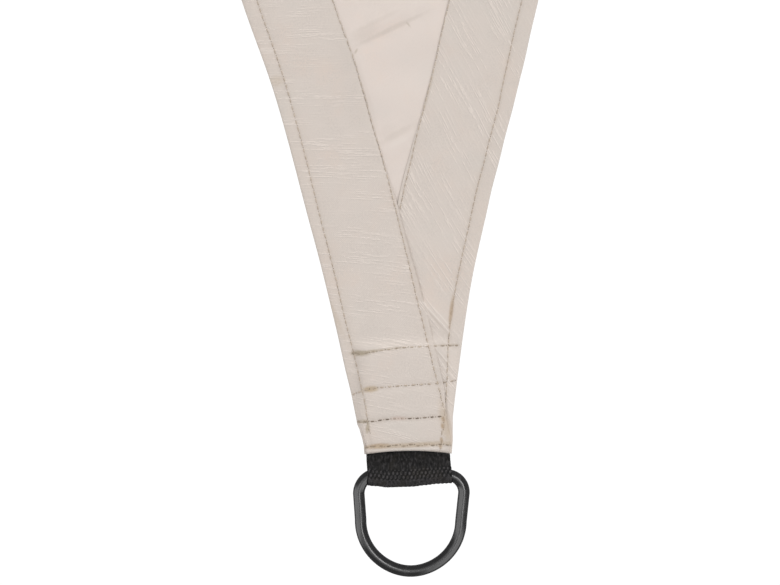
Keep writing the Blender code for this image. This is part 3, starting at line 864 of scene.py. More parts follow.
    def hem_columns(self, station: Station) -> list[tuple[float, float, float, float]]:
        """The hem's cross section, from the panel's side of the fold to the turned-in raw edge.

        Args:
            station: the cross line.

        Returns:
            Rows of distance from the edge, share of the height between panel and flap, drop below the flap,
            and distance along the cloth from the fold, as it was cut.
        """
        half_sheet = self.sheet / 2
        first, second, hem = station.outer_seam, station.inner_seam, station.hem
        columns = [
            (FOLD_SIDE, 0.0, 0.0, -FOLD_SIDE),
            (half_sheet + 0.10 * MM, 0.14, 0.0, -0.2 * MM),
            (half_sheet, 0.5, 0.0, 0.0),
            (half_sheet + 0.10 * MM, 0.86, 0.0, 0.2 * MM),
        ]
        flat = [FOLD_SIDE, min(2.4 * MM, first - 2.4 * MM)]
        flat += [first + step * MM for step in (-1.6, -0.7, 0.0, 0.7, 1.6)]
        gap = second - first - 3.2 * MM
        count = 11
        flat += [first + 1.6 * MM + gap * i / count for i in range(1, count)]
        flat += [second + step * MM for step in (-1.6, -0.7, 0.0)]
        beside = min(second + 0.7 * MM, hem - Side.SEAM_ROOM)
        flat += [beside, max((beside + hem - 0.45 * MM) / 2, hem - 1.0 * MM), hem - 0.45 * MM]
        columns += [(distance, 1.0, 0.0, distance) for distance in flat]
        under = self.turned_lift
        columns += [
            (hem - 0.22 * MM, 1.0, 0.14 * under, hem - 0.1 * MM),
            (hem - 0.22 * MM, 1.0, 0.70 * under, hem + 0.1 * MM),
            (hem - 0.6 * MM, 1.0, 0.92 * under, hem + 0.6 * MM),
            (hem - 0.85 * self.turned_in, 1.0, 0.92 * under, hem + 0.85 * self.turned_in),
        ]
        return columns

    def build(self, finishes: Sequence[Material]) -> Object:
        """Make the cloth's mesh with its thickness.

        Args:
            finishes: the coated side's material and the woven side's, in that order.

        Returns:
            The new object, with a UV map of the flat cut and attributes for how handled it is and how much
            darker beside the stitches, with painted shade along the left hem's fold.
        """
        hems = [self.hem_rows(side) for side in self.sides]
        for rows in hems:
            for one, other in zip(rows[:-1], rows[1:]):
                self.strip(one.hem, other.hem)
        rims = [self.side_base(rows) for rows in hems]
        crossings = [self.corner_base(corner, hems) for corner in self.corners]
        loop: list[int] = []
        for side in self.sides:
            loop += rims[side.index]
            loop += crossings[(side.index + 1) % CORNERS]
        self.fill_panel(loop)
        return self.finish(finishes)

    def add_point(
        self, plan: Vector, height: float, cut_place: Vector,
        handled: float = 0.0, sewn: float = 0.0, hem_edge: float = 0.0,
    ) -> int:
        """Keep a vertex and what belongs to it.

        Args:
            plan: its plan point.
            height: its height.
            cut_place: where it lay in the flat cut.
            handled: how much it was handled.
            sewn: how much darker it is beside the stitches, and along the left hem's fold as painted shade.
            hem_edge: 1 past the hem's inner seam.

        Returns:
            Its number.
        """
        self.points.append((plan.x, plan.y, height))
        self.cut_places.append((cut_place.x, cut_place.y))
        self.handled.append(handled)
        self.sewn.append(sewn)
        self.hem_edge.append(hem_edge)
        return len(self.points) - 1

    def strip(self, one: Sequence[int], other: Sequence[int]) -> None:
        """Faces between two rows of as many vertices."""
        self.faces += zip(one[:-1], one[1:], other[1:], other[:-1])

    def side_shares(self, side: Side) -> list[tuple[float, float | None]]:
        """All cross lines of a side: share of its length, and the row's distance where it is in a corner.

        Args:
            side: the side.

        Returns:
            The cross lines, from the side's first corner to its last.
        """
        zone = side.share(Side.ZONE)
        shares: list[tuple[float, float | None]] = [(side.share(y), y) for y in self.rows_in_zone]
        for i in range(1, self.middle_rows):
            shares.append((zone + (1 - 2 * zone) * i / self.middle_rows, None))
        shares += [(1 - side.share(y), y) for y in reversed(self.rows_in_zone)]
        return shares

    def hem_rows(self, side: Side) -> list[HemRow]:
        """Vertices of a whole hem, one row for each cross line.

        Args:
            side: the side.

        Returns:
            The rows, from the side's first corner to its last.
        """
        rows = []
        for t, y in self.side_shares(side):
            station = side.station(t)
            row = []
            for distance, share, drop, on_cloth in self.hem_columns(station):
                plan = self.arch(station, station.at(distance), y)
                low = self.panel_height(station.at(distance), station.corner)
                high = self.flap_height(station, distance) - drop
                place = station.cut_place(on_cloth) if on_cloth > 0 else station.at(distance)
                height = low + (high - low) * share
                soil_and_painted_light = self.soil_and_painted_light(station, distance) if share == 1.0 else 0.0
                past_seam = 1.0 if distance > station.inner_seam + 0.1 * MM else 0.0
                row.append(self.add_point(plan, height, place, self.wear(station, distance), soil_and_painted_light, past_seam))
            rows.append(HemRow(station, y, row))
        return rows

    def arch(self, station: Station, point: Vector, y: float | None) -> Vector:
        """The plan point, moved with the arch of the cloth's end if its row is close to that end."""
        near = y is not None and y <= ARCH_REACH
        return station.corner.arched(*station.corner.local(point)) if near else point

    def wear(self, station: Station, distance: float) -> float:
        """How much the cloth was handled: along seams, at the margin outside them and at the sewn end.

        Args:
            station: the hem's cross line.
            distance: from the cut edge's fold.

        Returns:
            A share from 0 to 1.
        """
        margin = 0.55 if distance < station.outer_seam else 0.0
        seams = 0.5 * bell(distance - station.outer_seam, 4 * MM)
        seams += 0.35 * bell(distance - station.inner_seam, 3 * MM)
        end = 0.5 * (1 - smooth((station.reach - 2 * MM) / (10 * MM)))
        strong = 1.0 if station.is_left else 0.75
        return clamp(max(margin * strong, seams, end), 0.0, 1.0)

    def soil_and_painted_light(self, station: Station, distance: float) -> float:
        """How much darker the cloth is beside seams and rows, more with a row's dirt, and along the left hem's
        fold as painted shade.

        Args:
            station: the hem's cross line.
            distance: from the cut edge's fold.

        Returns:
            A share from 0 to about 1.
        """
        x, y = station.corner.local(station.at(distance))
        apart = smooth((station.hem - station.inner_seam - 0.6 * MM) / (1.0 * MM))
        soil_and_painted_light = 0.32 * bell(distance - station.outer_seam, 0.95 * MM)
        soil_and_painted_light = max(soil_and_painted_light, (0.10 + 0.22 * apart) * bell(distance - station.inner_seam, 0.95 * MM))
        # Painted shade along the left hem's fold edge, where it lies over the right hem.
        if station.is_left:
            dirt = straight(station.corner.sewn.fold_painted_shade, station.reach / MM)
            soil_and_painted_light = max(soil_and_painted_light, 1.3 * dirt * bell(distance - station.hem, 0.7 * MM))
        for row in station.corner.sewn.rows:
            near = bell(y - straight(row.line, x / MM) * MM, 1.1 * MM)
            on_row = row.line[0][0] - 0.5 < x / MM < row.line[-1][0] + 0.5
            soil_and_painted_light = max(soil_and_painted_light, near * (0.18 + 0.52 * straight(row.dirt, x / MM)) if on_row else 0.0)
        return soil_and_painted_light

    def base_distances(self) -> list[float]:
        """Distances from the edge of the panel's columns that lie under a hem."""
        columns = 3
        return [FOLD_SIDE + (self.under_hem - FOLD_SIDE) * i / columns for i in range(1, columns + 1)]

    def side_base(self, rows: list[HemRow]) -> list[int]:
        """Panel under the middle of a hem.

        Args:
            rows: the hem's rows.

        Returns:
            The vertices of its inner rim.
        """
        zone = len(self.rows_in_zone) - 1
        middle = rows[zone : len(rows) - zone]
        for row in middle:
            station = row.station
            row.base = [row.hem[0]]
            for distance in self.base_distances():
                plan = station.at(distance)
                row.base.append(self.add_point(plan, self.panel_height(plan, station.corner), plan))
        for one, other in zip(middle[:-1], middle[1:]):
            self.strip(other.base, one.base)
        return [row.base[-1] for row in middle]

    def corner_base(self, corner: Corner, hems: list[list[HemRow]]) -> list[int]:
        """Panel between both hems of a corner.

        Args:
            corner: the corner.
            hems: the rows of all hems.

        Returns:
            The inner vertices of its last row.
        """
        count = len(self.rows_in_zone)
        left_rows = hems[corner.index - 1][::-1][:count]
        right_rows = hems[corner.index][:count]
        made = []
        for left, right in zip(left_rows, right_rows):
            left_xs = [corner.local(left.station.at(d))[0] for d in self.base_distances()]
            right_xs = [corner.local(right.station.at(d))[0] for d in self.base_distances()]
            middle = (left_xs[-1] + right_xs[-1]) / 2
            least = 6 * MM
            if right_xs[-1] - left_xs[-1] < 2 * least:
                left_xs = [left_xs[0], (left_xs[0] + middle - least) / 2, middle - least]
                right_xs = [right_xs[0], (right_xs[0] + middle + least) / 2, middle + least]
            low, high = left_xs[-1], right_xs[-1]
            inner = [low + (high - low) * i / self.open_columns for i in range(1, self.open_columns)]
            y = left.y
            if left is left_rows[-1]:
                start, end = left.base, right.base[::-1]
            else:
                start = [left.hem[0]] + [self.base_point(corner, x, y) for x in left_xs]
                end = [self.base_point(corner, x, y) for x in reversed(right_xs)] + [right.hem[0]]
            between = [self.base_point(corner, x, y) for x in inner]
            made.append((start + between + end, between))
        for (one, _), (other, _) in zip(made[:-1], made[1:]):
            self.strip(one, other)
        return made[-1][1]

    def base_point(self, corner: Corner, x: float, y: float) -> int:
        """A vertex of the panel at a place of a corner."""
        plan = corner.point(x, y)
        return self.add_point(corner.arched(x, y), self.panel_height(plan, corner), plan)

    def fill_panel(self, loop: list[int]) -> None:
        """The open panel: evenly staggered points inside the loop of rim vertices, joined by triangles.

        Args:
            loop: the rim's vertices, in order.
        """
        rim = [Vector(self.points[i][:2]) for i in loop]
        inside = self.panel_points(rim)
        count = len(loop)
        result = delaunay_2d_cdt(rim + inside, [], [list(range(count))], 1, 1e-7)
        places, triangles, originals = result[0], result[2], result[3]
        numbers = list(loop)
        for point in inside:
            corner = min(self.corners, key=lambda c: c.local(point)[1])
            numbers.append(self.add_point(point, self.panel_height(point, corner), point))
        number = [numbers[originals[i][0]] for i in range(len(places))]
        self.faces += [tuple(number[i] for i in triangle) for triangle in triangles]

    def panel_points(self, rim: list[Vector]) -> list[Vector]:
        """Points on a staggered lattice, inside the rim and half a step clear of it.

        Args:
            rim: the rim's points, in order.

        Returns:
            The points.
        """
        low = min(p.y for p in rim)
        high = max(p.y for p in rim)
        reach = max(abs(p.x) for p in rim)
        height = self.panel_step * math.sqrt(3) / 2
        columns = int(reach / self.panel_step) + 1
        points = []
        for row in range(int((high - low) / height) + 1):
            y = low + row * height
            spans = self.crossings(rim, y)
            for column in range(-columns, columns + 1):
                x = (column + 0.5 * (row % 2)) * self.panel_step
                if sum(x > crossing for crossing in spans) % 2 == 0:
                    continue
                point = Vector((x, y))
                if min((point - p).length for p in rim) > self.panel_step * 0.6:
                    points.append(point)
        return points

    @staticmethod
    def crossings(rim: list[Vector], y: float) -> list[float]:
        """Where the rim crosses a horizontal line.

        Args:
            rim: the rim's points, in order.
            y: the line's place.

        Returns:
            Where, along the line.
        """
        found = []
        for a, b in zip(rim, rim[1:] + rim[:1]):
            if (a.y > y) != (b.y > y):
                found.append(a.x + (y - a.y) * (b.x - a.x) / (b.y - a.y))
        return found

    def finish(self, finishes: Sequence[Material]) -> Object:
        """Turn the kept vertices and faces into an object with thickness, its front on the coated side.

        Args:
            finishes: the coated side's material and the woven side's.

        Returns:
            The new object.
        """
        mesh = bpy.data.meshes.new("sail_sheet")
        mesh.from_pydata(self.points, [], self.faces)
        cut_map = mesh.uv_layers.new(name="cut")
        for loop in mesh.loops:
            cut_map.data[loop.index].uv = self.cut_places[loop.vertex_index]
        for name, values in (("handled", self.handled), ("sewn", self.sewn), ("hem_edge", self.hem_edge)):
            mesh.attributes.new(name, "FLOAT", "POINT").data.foreach_set("value", values)
        mesh.shade_smooth()
        for finish in finishes:
            mesh.materials.append(finish)
        made = linked("sail_sheet", mesh)
        thickness = made.modifiers.new("thickness", "SOLIDIFY")
        thickness.thickness = self.sheet
        thickness.offset = 0
        thickness.material_offset = 1
        thickness.material_offset_rim = 1
        return made


# --- Node trees ---


class Nodes:
    """Short ways to add nodes to a tree, with links or values on their inputs."""

    def __init__(self, tree: bpy.types.NodeTree) -> None:
        """Start on an empty tree."""
        self.tree = tree
        self.tree.nodes.clear()

    def add(self, kind: str, inputs: dict[Any, Any] | None = None, **settings: Any) -> bpy.types.Node:
        """Add a node.

        Args:
            kind: the node's type name.
            inputs: values or output sockets, by the input's name or number.
            settings: the node's own properties.

        Returns:
            The new node.
        """
        node = self.tree.nodes.new(kind)
        for name, value in settings.items():
            setattr(node, name, value)
        for key, value in (inputs or {}).items():
            self.feed(node.inputs[key], value)
        return node

    def feed(self, socket: Socket, value: Any) -> None:
        """Link an output to a socket, or set the socket's value.

        Args:
            socket: the input.
            value: an output or a plain value.
        """
        if isinstance(value, Socket):
            self.tree.links.new(value, socket)
        else:
            socket.default_value = value

    def math(self, operation: str, *values: Any) -> Socket:
        """Result of a Math node on numbers or sockets."""
        return self.add("ShaderNodeMath", dict(enumerate(values)), operation=operation).outputs[0]

    def times(self, one: Any, *others: Any) -> Any:
        """Product of numbers or sockets.

        Args:
            one: the first number or socket.
            others: those that multiply it.

        Returns:
            The product.
        """
        for other in others:
            one = self.math("MULTIPLY", one, other)
        return one

    def plus(self, one: Any, other: Any) -> Any:
        """Sum of two numbers or sockets."""
        return self.math("ADD", one, other)

    def minus(self, one: Any, other: Any) -> Any:
        """Difference of two numbers or sockets."""
        return self.math("SUBTRACT", one, other)

    def joined(self, x: Any = 0.0, y: Any = 0.0, z: Any = 0.0) -> Socket:
        """A vector of three numbers or sockets."""
        return self.add("ShaderNodeCombineXYZ", {0: x, 1: y, 2: z}).outputs[0]

    def parts(self, vector: Any) -> Any:
        """The three numbers of a vector."""
        return self.add("ShaderNodeSeparateXYZ", {0: vector}).outputs

    def place(self) -> Socket:
        """In a material, the place on the object."""
        return self.add("ShaderNodeTexCoord").outputs["Object"]

    def spot(self) -> Socket:
        """In a shape's tree, the place of a point."""
        return self.add("GeometryNodeInputPosition").outputs[0]

    def painted(self, name: str) -> Socket:
        """In a material, an attribute of the mesh."""
        return self.add("ShaderNodeAttribute", attribute_name=name).outputs["Fac"]

    def marked(self, shape: Any, name: str, value: Any) -> Socket:
        """In a shape's tree, the geometry with a value kept as an attribute of its points."""
        inputs = {"Geometry": shape, "Name": name, "Value": value}
        return self.add("GeometryNodeStoreNamedAttribute", inputs).outputs[0]

    def random(self, low: float, high: float, seed: Any) -> Socket:
        """In a shape's tree, a random number for each instance."""
        inputs = {2: low, 3: high, "Seed": seed}
        return self.add("FunctionNodeRandomValue", inputs, data_type="FLOAT").outputs[1]

    def dressed(self, shape: Any, finish: Material) -> Socket:
        """In a shape's tree, its instances made real and given a material."""
        real = self.add("GeometryNodeRealizeInstances", {0: shape}).outputs[0]
        return self.add("GeometryNodeSetMaterial", {"Geometry": real, "Material": finish}).outputs[0]

    def span(self, value: Any, low: float, high: float, to_low: float = 0.0, to_high: float = 1.0) -> Any:
        """The value, eased from one range to another."""
        numbers = {"Value": value, 1: low, 2: high, 3: to_low, 4: to_high}
        return self.add("ShaderNodeMapRange", numbers, interpolation_type="SMOOTHSTEP").outputs[0]

    def vector(self, operation: str, *values: Any) -> bpy.types.Node:
        """A Vector Math node on vectors or sockets."""
        return self.add("ShaderNodeVectorMath", dict(enumerate(values)), operation=operation)

    def noise(self, vector: Any, scale: float, detail: float = 2.0, rough: float = 0.5) -> Socket:
        """Value of a Noise texture, about 0 to 1."""
        inputs = {"Vector": vector, "Scale": scale, "Detail": detail, "Roughness": rough}
        return self.add("ShaderNodeTexNoise", inputs).outputs["Fac"]

    def mix(self, share: Any, one: Any, other: Any) -> Socket:
        """A colour between two colours."""
        inputs = {0: share, 6: rgba(one), 7: rgba(other)}
        return self.add("ShaderNodeMix", inputs, data_type="RGBA").outputs[2]


def rgba(colour: Any) -> Any:
    """A colour with its alpha; a socket stays as it is."""
    return colour if isinstance(colour, Socket) else (*colour, 1.0)


# --- Finishes ---


def new_material(name: str) -> tuple[Material, Nodes]:
    """A material with an empty node tree, and the tree's nodes.

    Args:
        name: the material's name.

    Returns:
        The material and its nodes.
    """
    made = bpy.data.materials.new(name)
    made.use_nodes = True
    return made, Nodes(made.node_tree)


def coat(nodes: Nodes, colour: Any, roughness: Any, specular: float, relief: Any, depth: float) -> None:
    """End a material's tree in a plain surface.

    Args:
        nodes: the material's nodes.
        colour: its colour.
        roughness: its roughness.
        specular: how strongly it mirrors, 0.5 being glossy plastic.
        relief: height of its small relief.
        depth: the relief's depth in metres for a height of 1.
    """
    bump = nodes.add("ShaderNodeBump", {"Height": relief, "Distance": depth}).outputs[0]
    inputs = {"Base Color": colour, "Roughness": roughness, "Normal": bump}
    shader = nodes.add("ShaderNodeBsdfPrincipled", inputs)
    shader.inputs["Specular IOR Level"].default_value = specular
    nodes.add("ShaderNodeOutputMaterial", {"Surface": shader.outputs[0]})


def linked(name: str, data: Any) -> Object:
    """A new object of the scene, at the origin.

    Args:
        name: the object's name.
        data: its mesh, light or camera.

    Returns:
        The object.
    """
    made = bpy.data.objects.new(name, data)
    bpy.context.collection.objects.link(made)
    return made


class StainAndPaintedLightGroup:
    """A node group that shows where one elongated spot is, with a ragged rim."""

    def __init__(self) -> None:
        """Build the group."""
        tree = bpy.data.node_groups.new("stain or painted light spot", "ShaderNodeTree")
        sockets = (
            ("Position", "NodeSocketVector"),
            ("Middle", "NodeSocketVector"),
            ("Turn", FLOAT),
            ("Size", "NodeSocketVector"),
            ("Strength", FLOAT),
        )
        for name, kind in sockets:
            tree.interface.new_socket(name=name, in_out="INPUT", socket_type=kind)
        tree.interface.new_socket(name="Mask", in_out="OUTPUT", socket_type=FLOAT)
        nodes = Nodes(tree)
        source = nodes.add("NodeGroupInput").outputs
        off = nodes.vector("SUBTRACT", source["Position"], source["Middle"]).outputs[0]
        angle = nodes.times(source["Turn"], -1.0)
        turned = nodes.add("ShaderNodeVectorRotate", {"Vector": off, "Angle": angle}, rotation_type="Z_AXIS")
        scaled = nodes.vector("DIVIDE", turned.outputs[0], source["Size"]).outputs[0]
        flat = nodes.vector("MULTIPLY", scaled, (1.0, 1.0, 0.0)).outputs[0]
        length = nodes.vector("LENGTH", flat).outputs["Value"]
        ragged = nodes.noise(source["Position"], 1 / (1.6 * MM), 3.0, 0.6)
        far = nodes.plus(length, nodes.times(nodes.minus(ragged, 0.5), 0.9))
        inside = nodes.span(far, 1.35, 0.35)
        mottled = nodes.times(inside, nodes.span(ragged, 0.2, 0.6, 0.6, 1.0))
        mask = nodes.times(mottled, source["Strength"])
        nodes.add("NodeGroupOutput", {"Mask": mask})
        self.tree = tree

    def with_stains_and_painted_light(self, nodes: Nodes, colour: Any, corners: Sequence[Corner], share: float = 1.0) -> Any:
        """The colour with every corner's spots on it: stain colours, painted highlights and painted shade.

        Args:
            nodes: the material's nodes.
            colour: the clean colour.
            corners: all corners.
            share: how strongly this surface takes the spots.

        Returns:
            The socket of the spotted colour.
        """
        position = nodes.place()
        for corner in corners:
            for stain in corner.sewn.stains_and_painted_light:
                middle = corner.point(stain.place[0] * MM, stain.place[1] * MM)
                group = nodes.add("ShaderNodeGroup", node_tree=self.tree)
                values = {
                    "Position": position,
                    "Middle": (middle.x, middle.y, 0.0),
                    "Turn": corner.turn + math.radians(stain.turn),
                    "Size": (stain.size[0] * MM, stain.size[1] * MM, 1.0),
                    "Strength": stain.strength * share,
                }
                for name, value in values.items():
                    nodes.feed(group.inputs[name], value)
                colour = nodes.mix(group.outputs["Mask"], colour, stain.soil_and_painted_light.value)
        return colour


class ClothSide(Enum):
    """The two sides of the coated cloth."""

    COATED = "coated reverse"
    WOVEN = "woven face"


@dataclass(frozen=True)
class Polyester:
    """Coated woven polyester: smooth and pale on its coated side, slubbed on its woven side.

    Attributes:
        handled: the cloth where it was handled; darker still, beside the stitches and as painted shade along
            the left hem's fold.
        slub: how much lighter the thick weft threads are.
        speckle: how much darker the gaps between threads are.
        weave_depth: height of the weave's relief.
        slub_depth: height of the slubs' relief.
    """

    side: ClothSide
    colour: Colour
    handled: Colour
    slub: float
    speckle: float
    weave_depth: float
    slub_depth: float
    roughness: float

    THREAD_PITCH = 0.44 * MM

    def make(self, stains_and_painted_light: StainAndPaintedLightGroup, corners: Sequence[Corner]) -> Material:
        """Build the material.

        Args:
            stains_and_painted_light: the group that draws the spots of stain and of painted highlight and
                shade.
            corners: all corners, whose spots of stain and painted light the cloth has.

        Returns:
            The material.
        """
        made, nodes = new_material(self.side.value)
        uv = nodes.add("ShaderNodeUVMap", uv_map="cut").outputs[0]
        weft = math.radians(31.8)
        turn = {"Vector": uv, "Angle": -weft}
        turned = nodes.add("ShaderNodeVectorRotate", turn, rotation_type="Z_AXIS").outputs[0]
        slubs = self.slubs(nodes, turned)
        beyond = nodes.painted("hem_edge")
        for name, mask in slubs.items():
            slubs[name] = nodes.times(mask, nodes.minus(1.0, beyond))
        weave = self.weave(nodes, turned)
        worn = nodes.painted("handled")
        patchy = nodes.span(nodes.noise(uv, 28.0, 3.0), 0.3, 0.7, 0.75, 1.0)
        colour = nodes.mix(nodes.times(worn, patchy), self.colour, self.handled)
        colour = self.clouded(nodes, colour, uv)
        specks = nodes.noise(uv, 1 / (0.8 * MM), 1.0, 0.6)
        spotty = nodes.span(nodes.noise(uv, 90.0, 1.0), 0.40, 0.62, 0.35, 1.0)
        speckled = nodes.times(nodes.span(specks, 0.40, 0.70), spotty)
        colour = nodes.mix(speckled, colour, tuple(c * (1 - self.speckle) for c in self.colour))
        # Darker beside the seams and rows, more with a row's dirt, and painted shade along the left hem's fold
        # edge.
        sewn = nodes.painted("sewn")
        stitch_darkening_and_painted_shade = nodes.times(sewn, nodes.span(nodes.noise(uv, 420.0, 2.0), 0.25, 0.7, 0.45, 1.0))
        colour = nodes.mix(stitch_darkening_and_painted_shade, colour, tuple(c * k for c, k in zip(self.handled, (0.76, 0.74, 0.72))))
        lighter = tuple(min(c * (1 + self.slub), 1.0) for c in self.colour)
        # Painted shadow: the darker colour of the thin line beside each thick weft thread.
        darker = tuple(c * (1 - 0.55 * self.slub) for c in self.colour)
        colour = nodes.mix(slubs["dark"], colour, darker)
        colour = nodes.mix(slubs["light"], colour, lighter)
        colour = stains_and_painted_light.with_stains_and_painted_light(nodes, colour, corners)
        relief = nodes.times(slubs["light"], self.slub_depth)
        relief = nodes.plus(relief, nodes.times(weave, self.weave_depth))
        coat(nodes, colour, self.roughness, 0.25, relief, 1.0)
        return made

    def clouded(self, nodes: Nodes, colour: Any, place: Any) -> Any:
        """The colour with broad, faint clouds of warmer and cooler tone.

        Args:
            nodes: the tree's nodes.
            colour: the plain colour.
            place: the place on the flat cut.

        Returns:
            The clouded colour.
        """
        warm = tuple(c * k for c, k in zip(self.colour, (1.03, 0.98, 0.95)))
        cool = tuple(c * k for c, k in zip(self.colour, (0.955, 0.985, 0.99)))
        clouds = nodes.noise(place, 34.0, 4.0, 0.62)
        colour = nodes.mix(nodes.span(clouds, 0.50, 0.72, 0.0, 0.75), colour, warm)
        return nodes.mix(nodes.span(clouds, 0.50, 0.28, 0.0, 0.75), colour, cool)

    def slubs(self, nodes: Nodes, place: Any) -> dict[str, Any]:
        """Masks of the thick weft threads, which are paler, and of the painted shadows, thin and dark, beside
        them.

        Args:
            nodes: the tree's nodes.
            place: the place on the flat cut, turned to the weft.

        Returns:
            The masks, by name.
        """
        drift = nodes.noise(place, 40.0, 0.0)
        wander = nodes.times(nodes.minus(drift, 0.5), 0.9 * MM)
        parts = nodes.parts(place)
        across = nodes.plus(parts[1], wander)
        masks = {}
        clusters = nodes.span(self.streaks(nodes, parts[0], across, 26.0, 110.0, 1.0), 0.40, 0.60, 0.2, 1.0)
        # The second mask is the painted shadow, one thread beside each thick weft thread.
        for name, shift in (("light", 0.0), ("dark", self.THREAD_PITCH)):
            threads = nodes.math("DIVIDE", nodes.plus(across, shift), self.THREAD_PITCH)
            number = nodes.math("FLOOR", threads)
            off = nodes.math("ABSOLUTE", nodes.minus(nodes.math("FRACT", threads), 0.5))
            long = nodes.span(self.streaks(nodes, parts[0], number, 52.0, 7.31, 2.3), 0.58, 0.68)
            short = nodes.span(self.streaks(nodes, parts[0], number, 90.0, 5.77, 7.9), 0.62, 0.74, 0.0, 0.8)
            breaks = self.streaks(nodes, parts[0], number, 420.0, 3.19, 5.1)
            broken = nodes.span(breaks, 0.34, 0.56, 0.25, 1.0)
            thick = nodes.math("MAXIMUM", long, short)
            masks[name] = nodes.times(thick, nodes.span(off, 0.5, 0.22), broken, clusters)
        return masks

    def streaks(self, nodes: Nodes, along: Any, across: Any, long: float, wide: float, seed: float) -> Any:
        """Noise that is drawn out along the weft: its steps for each unit along and across it."""
        steps = nodes.joined(nodes.times(along, long), nodes.times(across, wide), seed)
        return nodes.noise(steps, 1.0, 0.0)

    def weave(self, nodes: Nodes, place: Any) -> Any:
        """Relief of the plain weave, from -1 to 1, at a place on the flat cut turned to the weft."""
        turns = [nodes.times(part, math.pi / self.THREAD_PITCH) for part in nodes.parts(place)[:2]]
        return nodes.times(*(nodes.math("SINE", turn) for turn in turns))


COATED_SIDE = Polyester(
    ClothSide.COATED,
    colour=(0.593, 0.5255, 0.4825),
    handled=(0.563, 0.490, 0.438),
    slub=0.006,
    speckle=0.025,
    weave_depth=0.006 * MM,
    slub_depth=0.01 * MM,
    roughness=0.60,
)
WOVEN_SIDE = Polyester(
    ClothSide.WOVEN,
    colour=(0.549, 0.4915, 0.449),
    handled=(0.532, 0.468, 0.417),
    slub=0.18,
    speckle=0.07,
    weave_depth=0.020 * MM,
    slub_depth=0.06 * MM,
    roughness=0.78,
)


@dataclass(frozen=True)
class Thread:
    """Sewing thread, clean or blackened by dirt where its mesh says so."""

    colour: Colour = (0.470, 0.395, 0.318)
    dirty: Colour = (0.165, 0.127, 0.097)
    roughness: float = 0.7

    def make(self, stains_and_painted_light: StainAndPaintedLightGroup, corners: Sequence[Corner]) -> Material:
        """Build the material.

        Args:
            stains_and_painted_light: the group that draws the spots of stain and of painted highlight and
                shade.
            corners: all corners, whose spots of stain and painted light the thread takes too.

        Returns:
            The material.
        """
        made, nodes = new_material("sewing thread")
        position = nodes.place()
        dirt = nodes.painted("dirt")
        spots = nodes.noise(position, 1 / (2.2 * MM), 2.0)
        worn = nodes.plus(dirt, nodes.times(nodes.minus(spots, 0.5), 0.5))
        colour = nodes.mix(nodes.span(worn, 0.0, 1.0), self.colour, self.dirty)
        colour = stains_and_painted_light.with_stains_and_painted_light(nodes, colour, corners, 0.5)
        plies = {"Vector": position, "Scale": 1 / (0.9 * MM), "Distortion": 1.0}
        twist = nodes.add("ShaderNodeTexWave", plies)
        coat(nodes, colour, self.roughness, 0.3, twist.outputs["Fac"], 0.05 * MM)
        return made


@dataclass(frozen=True)
class NeedleHoleShade:
    """The painted shade of the pit where the thread goes through the cloth, as a dark disc."""

    colour: Colour = (0.340, 0.275, 0.220)

    def make(self) -> Material:
        """Build the material.

        Returns:
            The material.
        """
        made, nodes = new_material("needle hole shade")
        position = nodes.place()
        depth = nodes.noise(position, 1 / (0.5 * MM), 1.0)
        # Painted shade, deeper in patches of the pit.
        deep = tuple(c * 0.45 for c in self.colour)
        colour = nodes.mix(nodes.span(depth, 0.3, 0.7), self.colour, deep)
        coat(nodes, colour, 0.9, 0.1, depth, 0.05 * MM)
        return made


@dataclass(frozen=True)
class BlackWebbing:
    """Charcoal polyester webbing whose yarns have a dull sheen, with painted highlight and painted shade on
    the floats over the bar.
    """

    colour: Colour = (0.0086, 0.0083, 0.0083)
    # Dark yarns, and the painted shade between the floats over the bar.
    deep: Colour = (0.0020, 0.0020, 0.0021)
    # Worn fibres, and the painted highlight on the tops of the floats over the bar.
    worn: Colour = (0.063, 0.059, 0.061)
    tinge: Colour = (0.018, 0.015, 0.011)
    roughness: float = 0.70

    def make(self) -> Material:
        """Build the material.

        Returns:
            The material.
        """
        made, nodes = new_material("black webbing")
        position = nodes.place()
        height = nodes.painted("yarn")
        shows = nodes.painted("over bar")
        fibres = nodes.noise(position, 1 / (0.5 * MM), 2.0, 0.7)
        chance = nodes.span(nodes.noise(position, 1 / (1.3 * MM), 1.0), 0.35, 0.62, 0.10, 0.72)
        across = nodes.painted("across")
        run = nodes.painted("run")
        steps = nodes.joined(nodes.times(across, 1100.0), nodes.times(run, 420.0))
        yarns = nodes.noise(steps, 1.0, 2.0)
        past = nodes.painted("past bar")
        # Painted highlight: the tops of the floats over the bar, in the worn colour.
        lit = nodes.times(nodes.span(height, 0.45, 0.95), nodes.times(chance, shows))
        colour = nodes.mix(nodes.span(fibres, 0.45, 0.8, 0.0, 0.22), self.colour, self.worn)
        colour = nodes.mix(nodes.span(yarns, 0.48, 0.72, 0.0, 0.42), colour, self.worn)
        colour = nodes.mix(nodes.times(past, nodes.span(fibres, 0.3, 0.7, 0.1, 0.42)), colour, self.worn)
        colour = nodes.mix(nodes.span(yarns, 0.47, 0.30, 0.0, 0.9), colour, self.deep)
        patches = nodes.noise(position, 1 / (6 * MM), 2.0)
        colour = nodes.mix(nodes.span(patches, 0.48, 0.70, 0.0, 0.5), colour, self.tinge)
        # Painted shade between the floats over the bar.
        between = nodes.times(nodes.span(height, 0.35, 0.05, 0.0, 0.8), shows)
        colour = nodes.mix(between, colour, self.deep)
        colour = nodes.mix(lit, colour, self.worn)
        coat(nodes, colour, self.roughness, 0.15, fibres, 0.06 * MM)
        return made


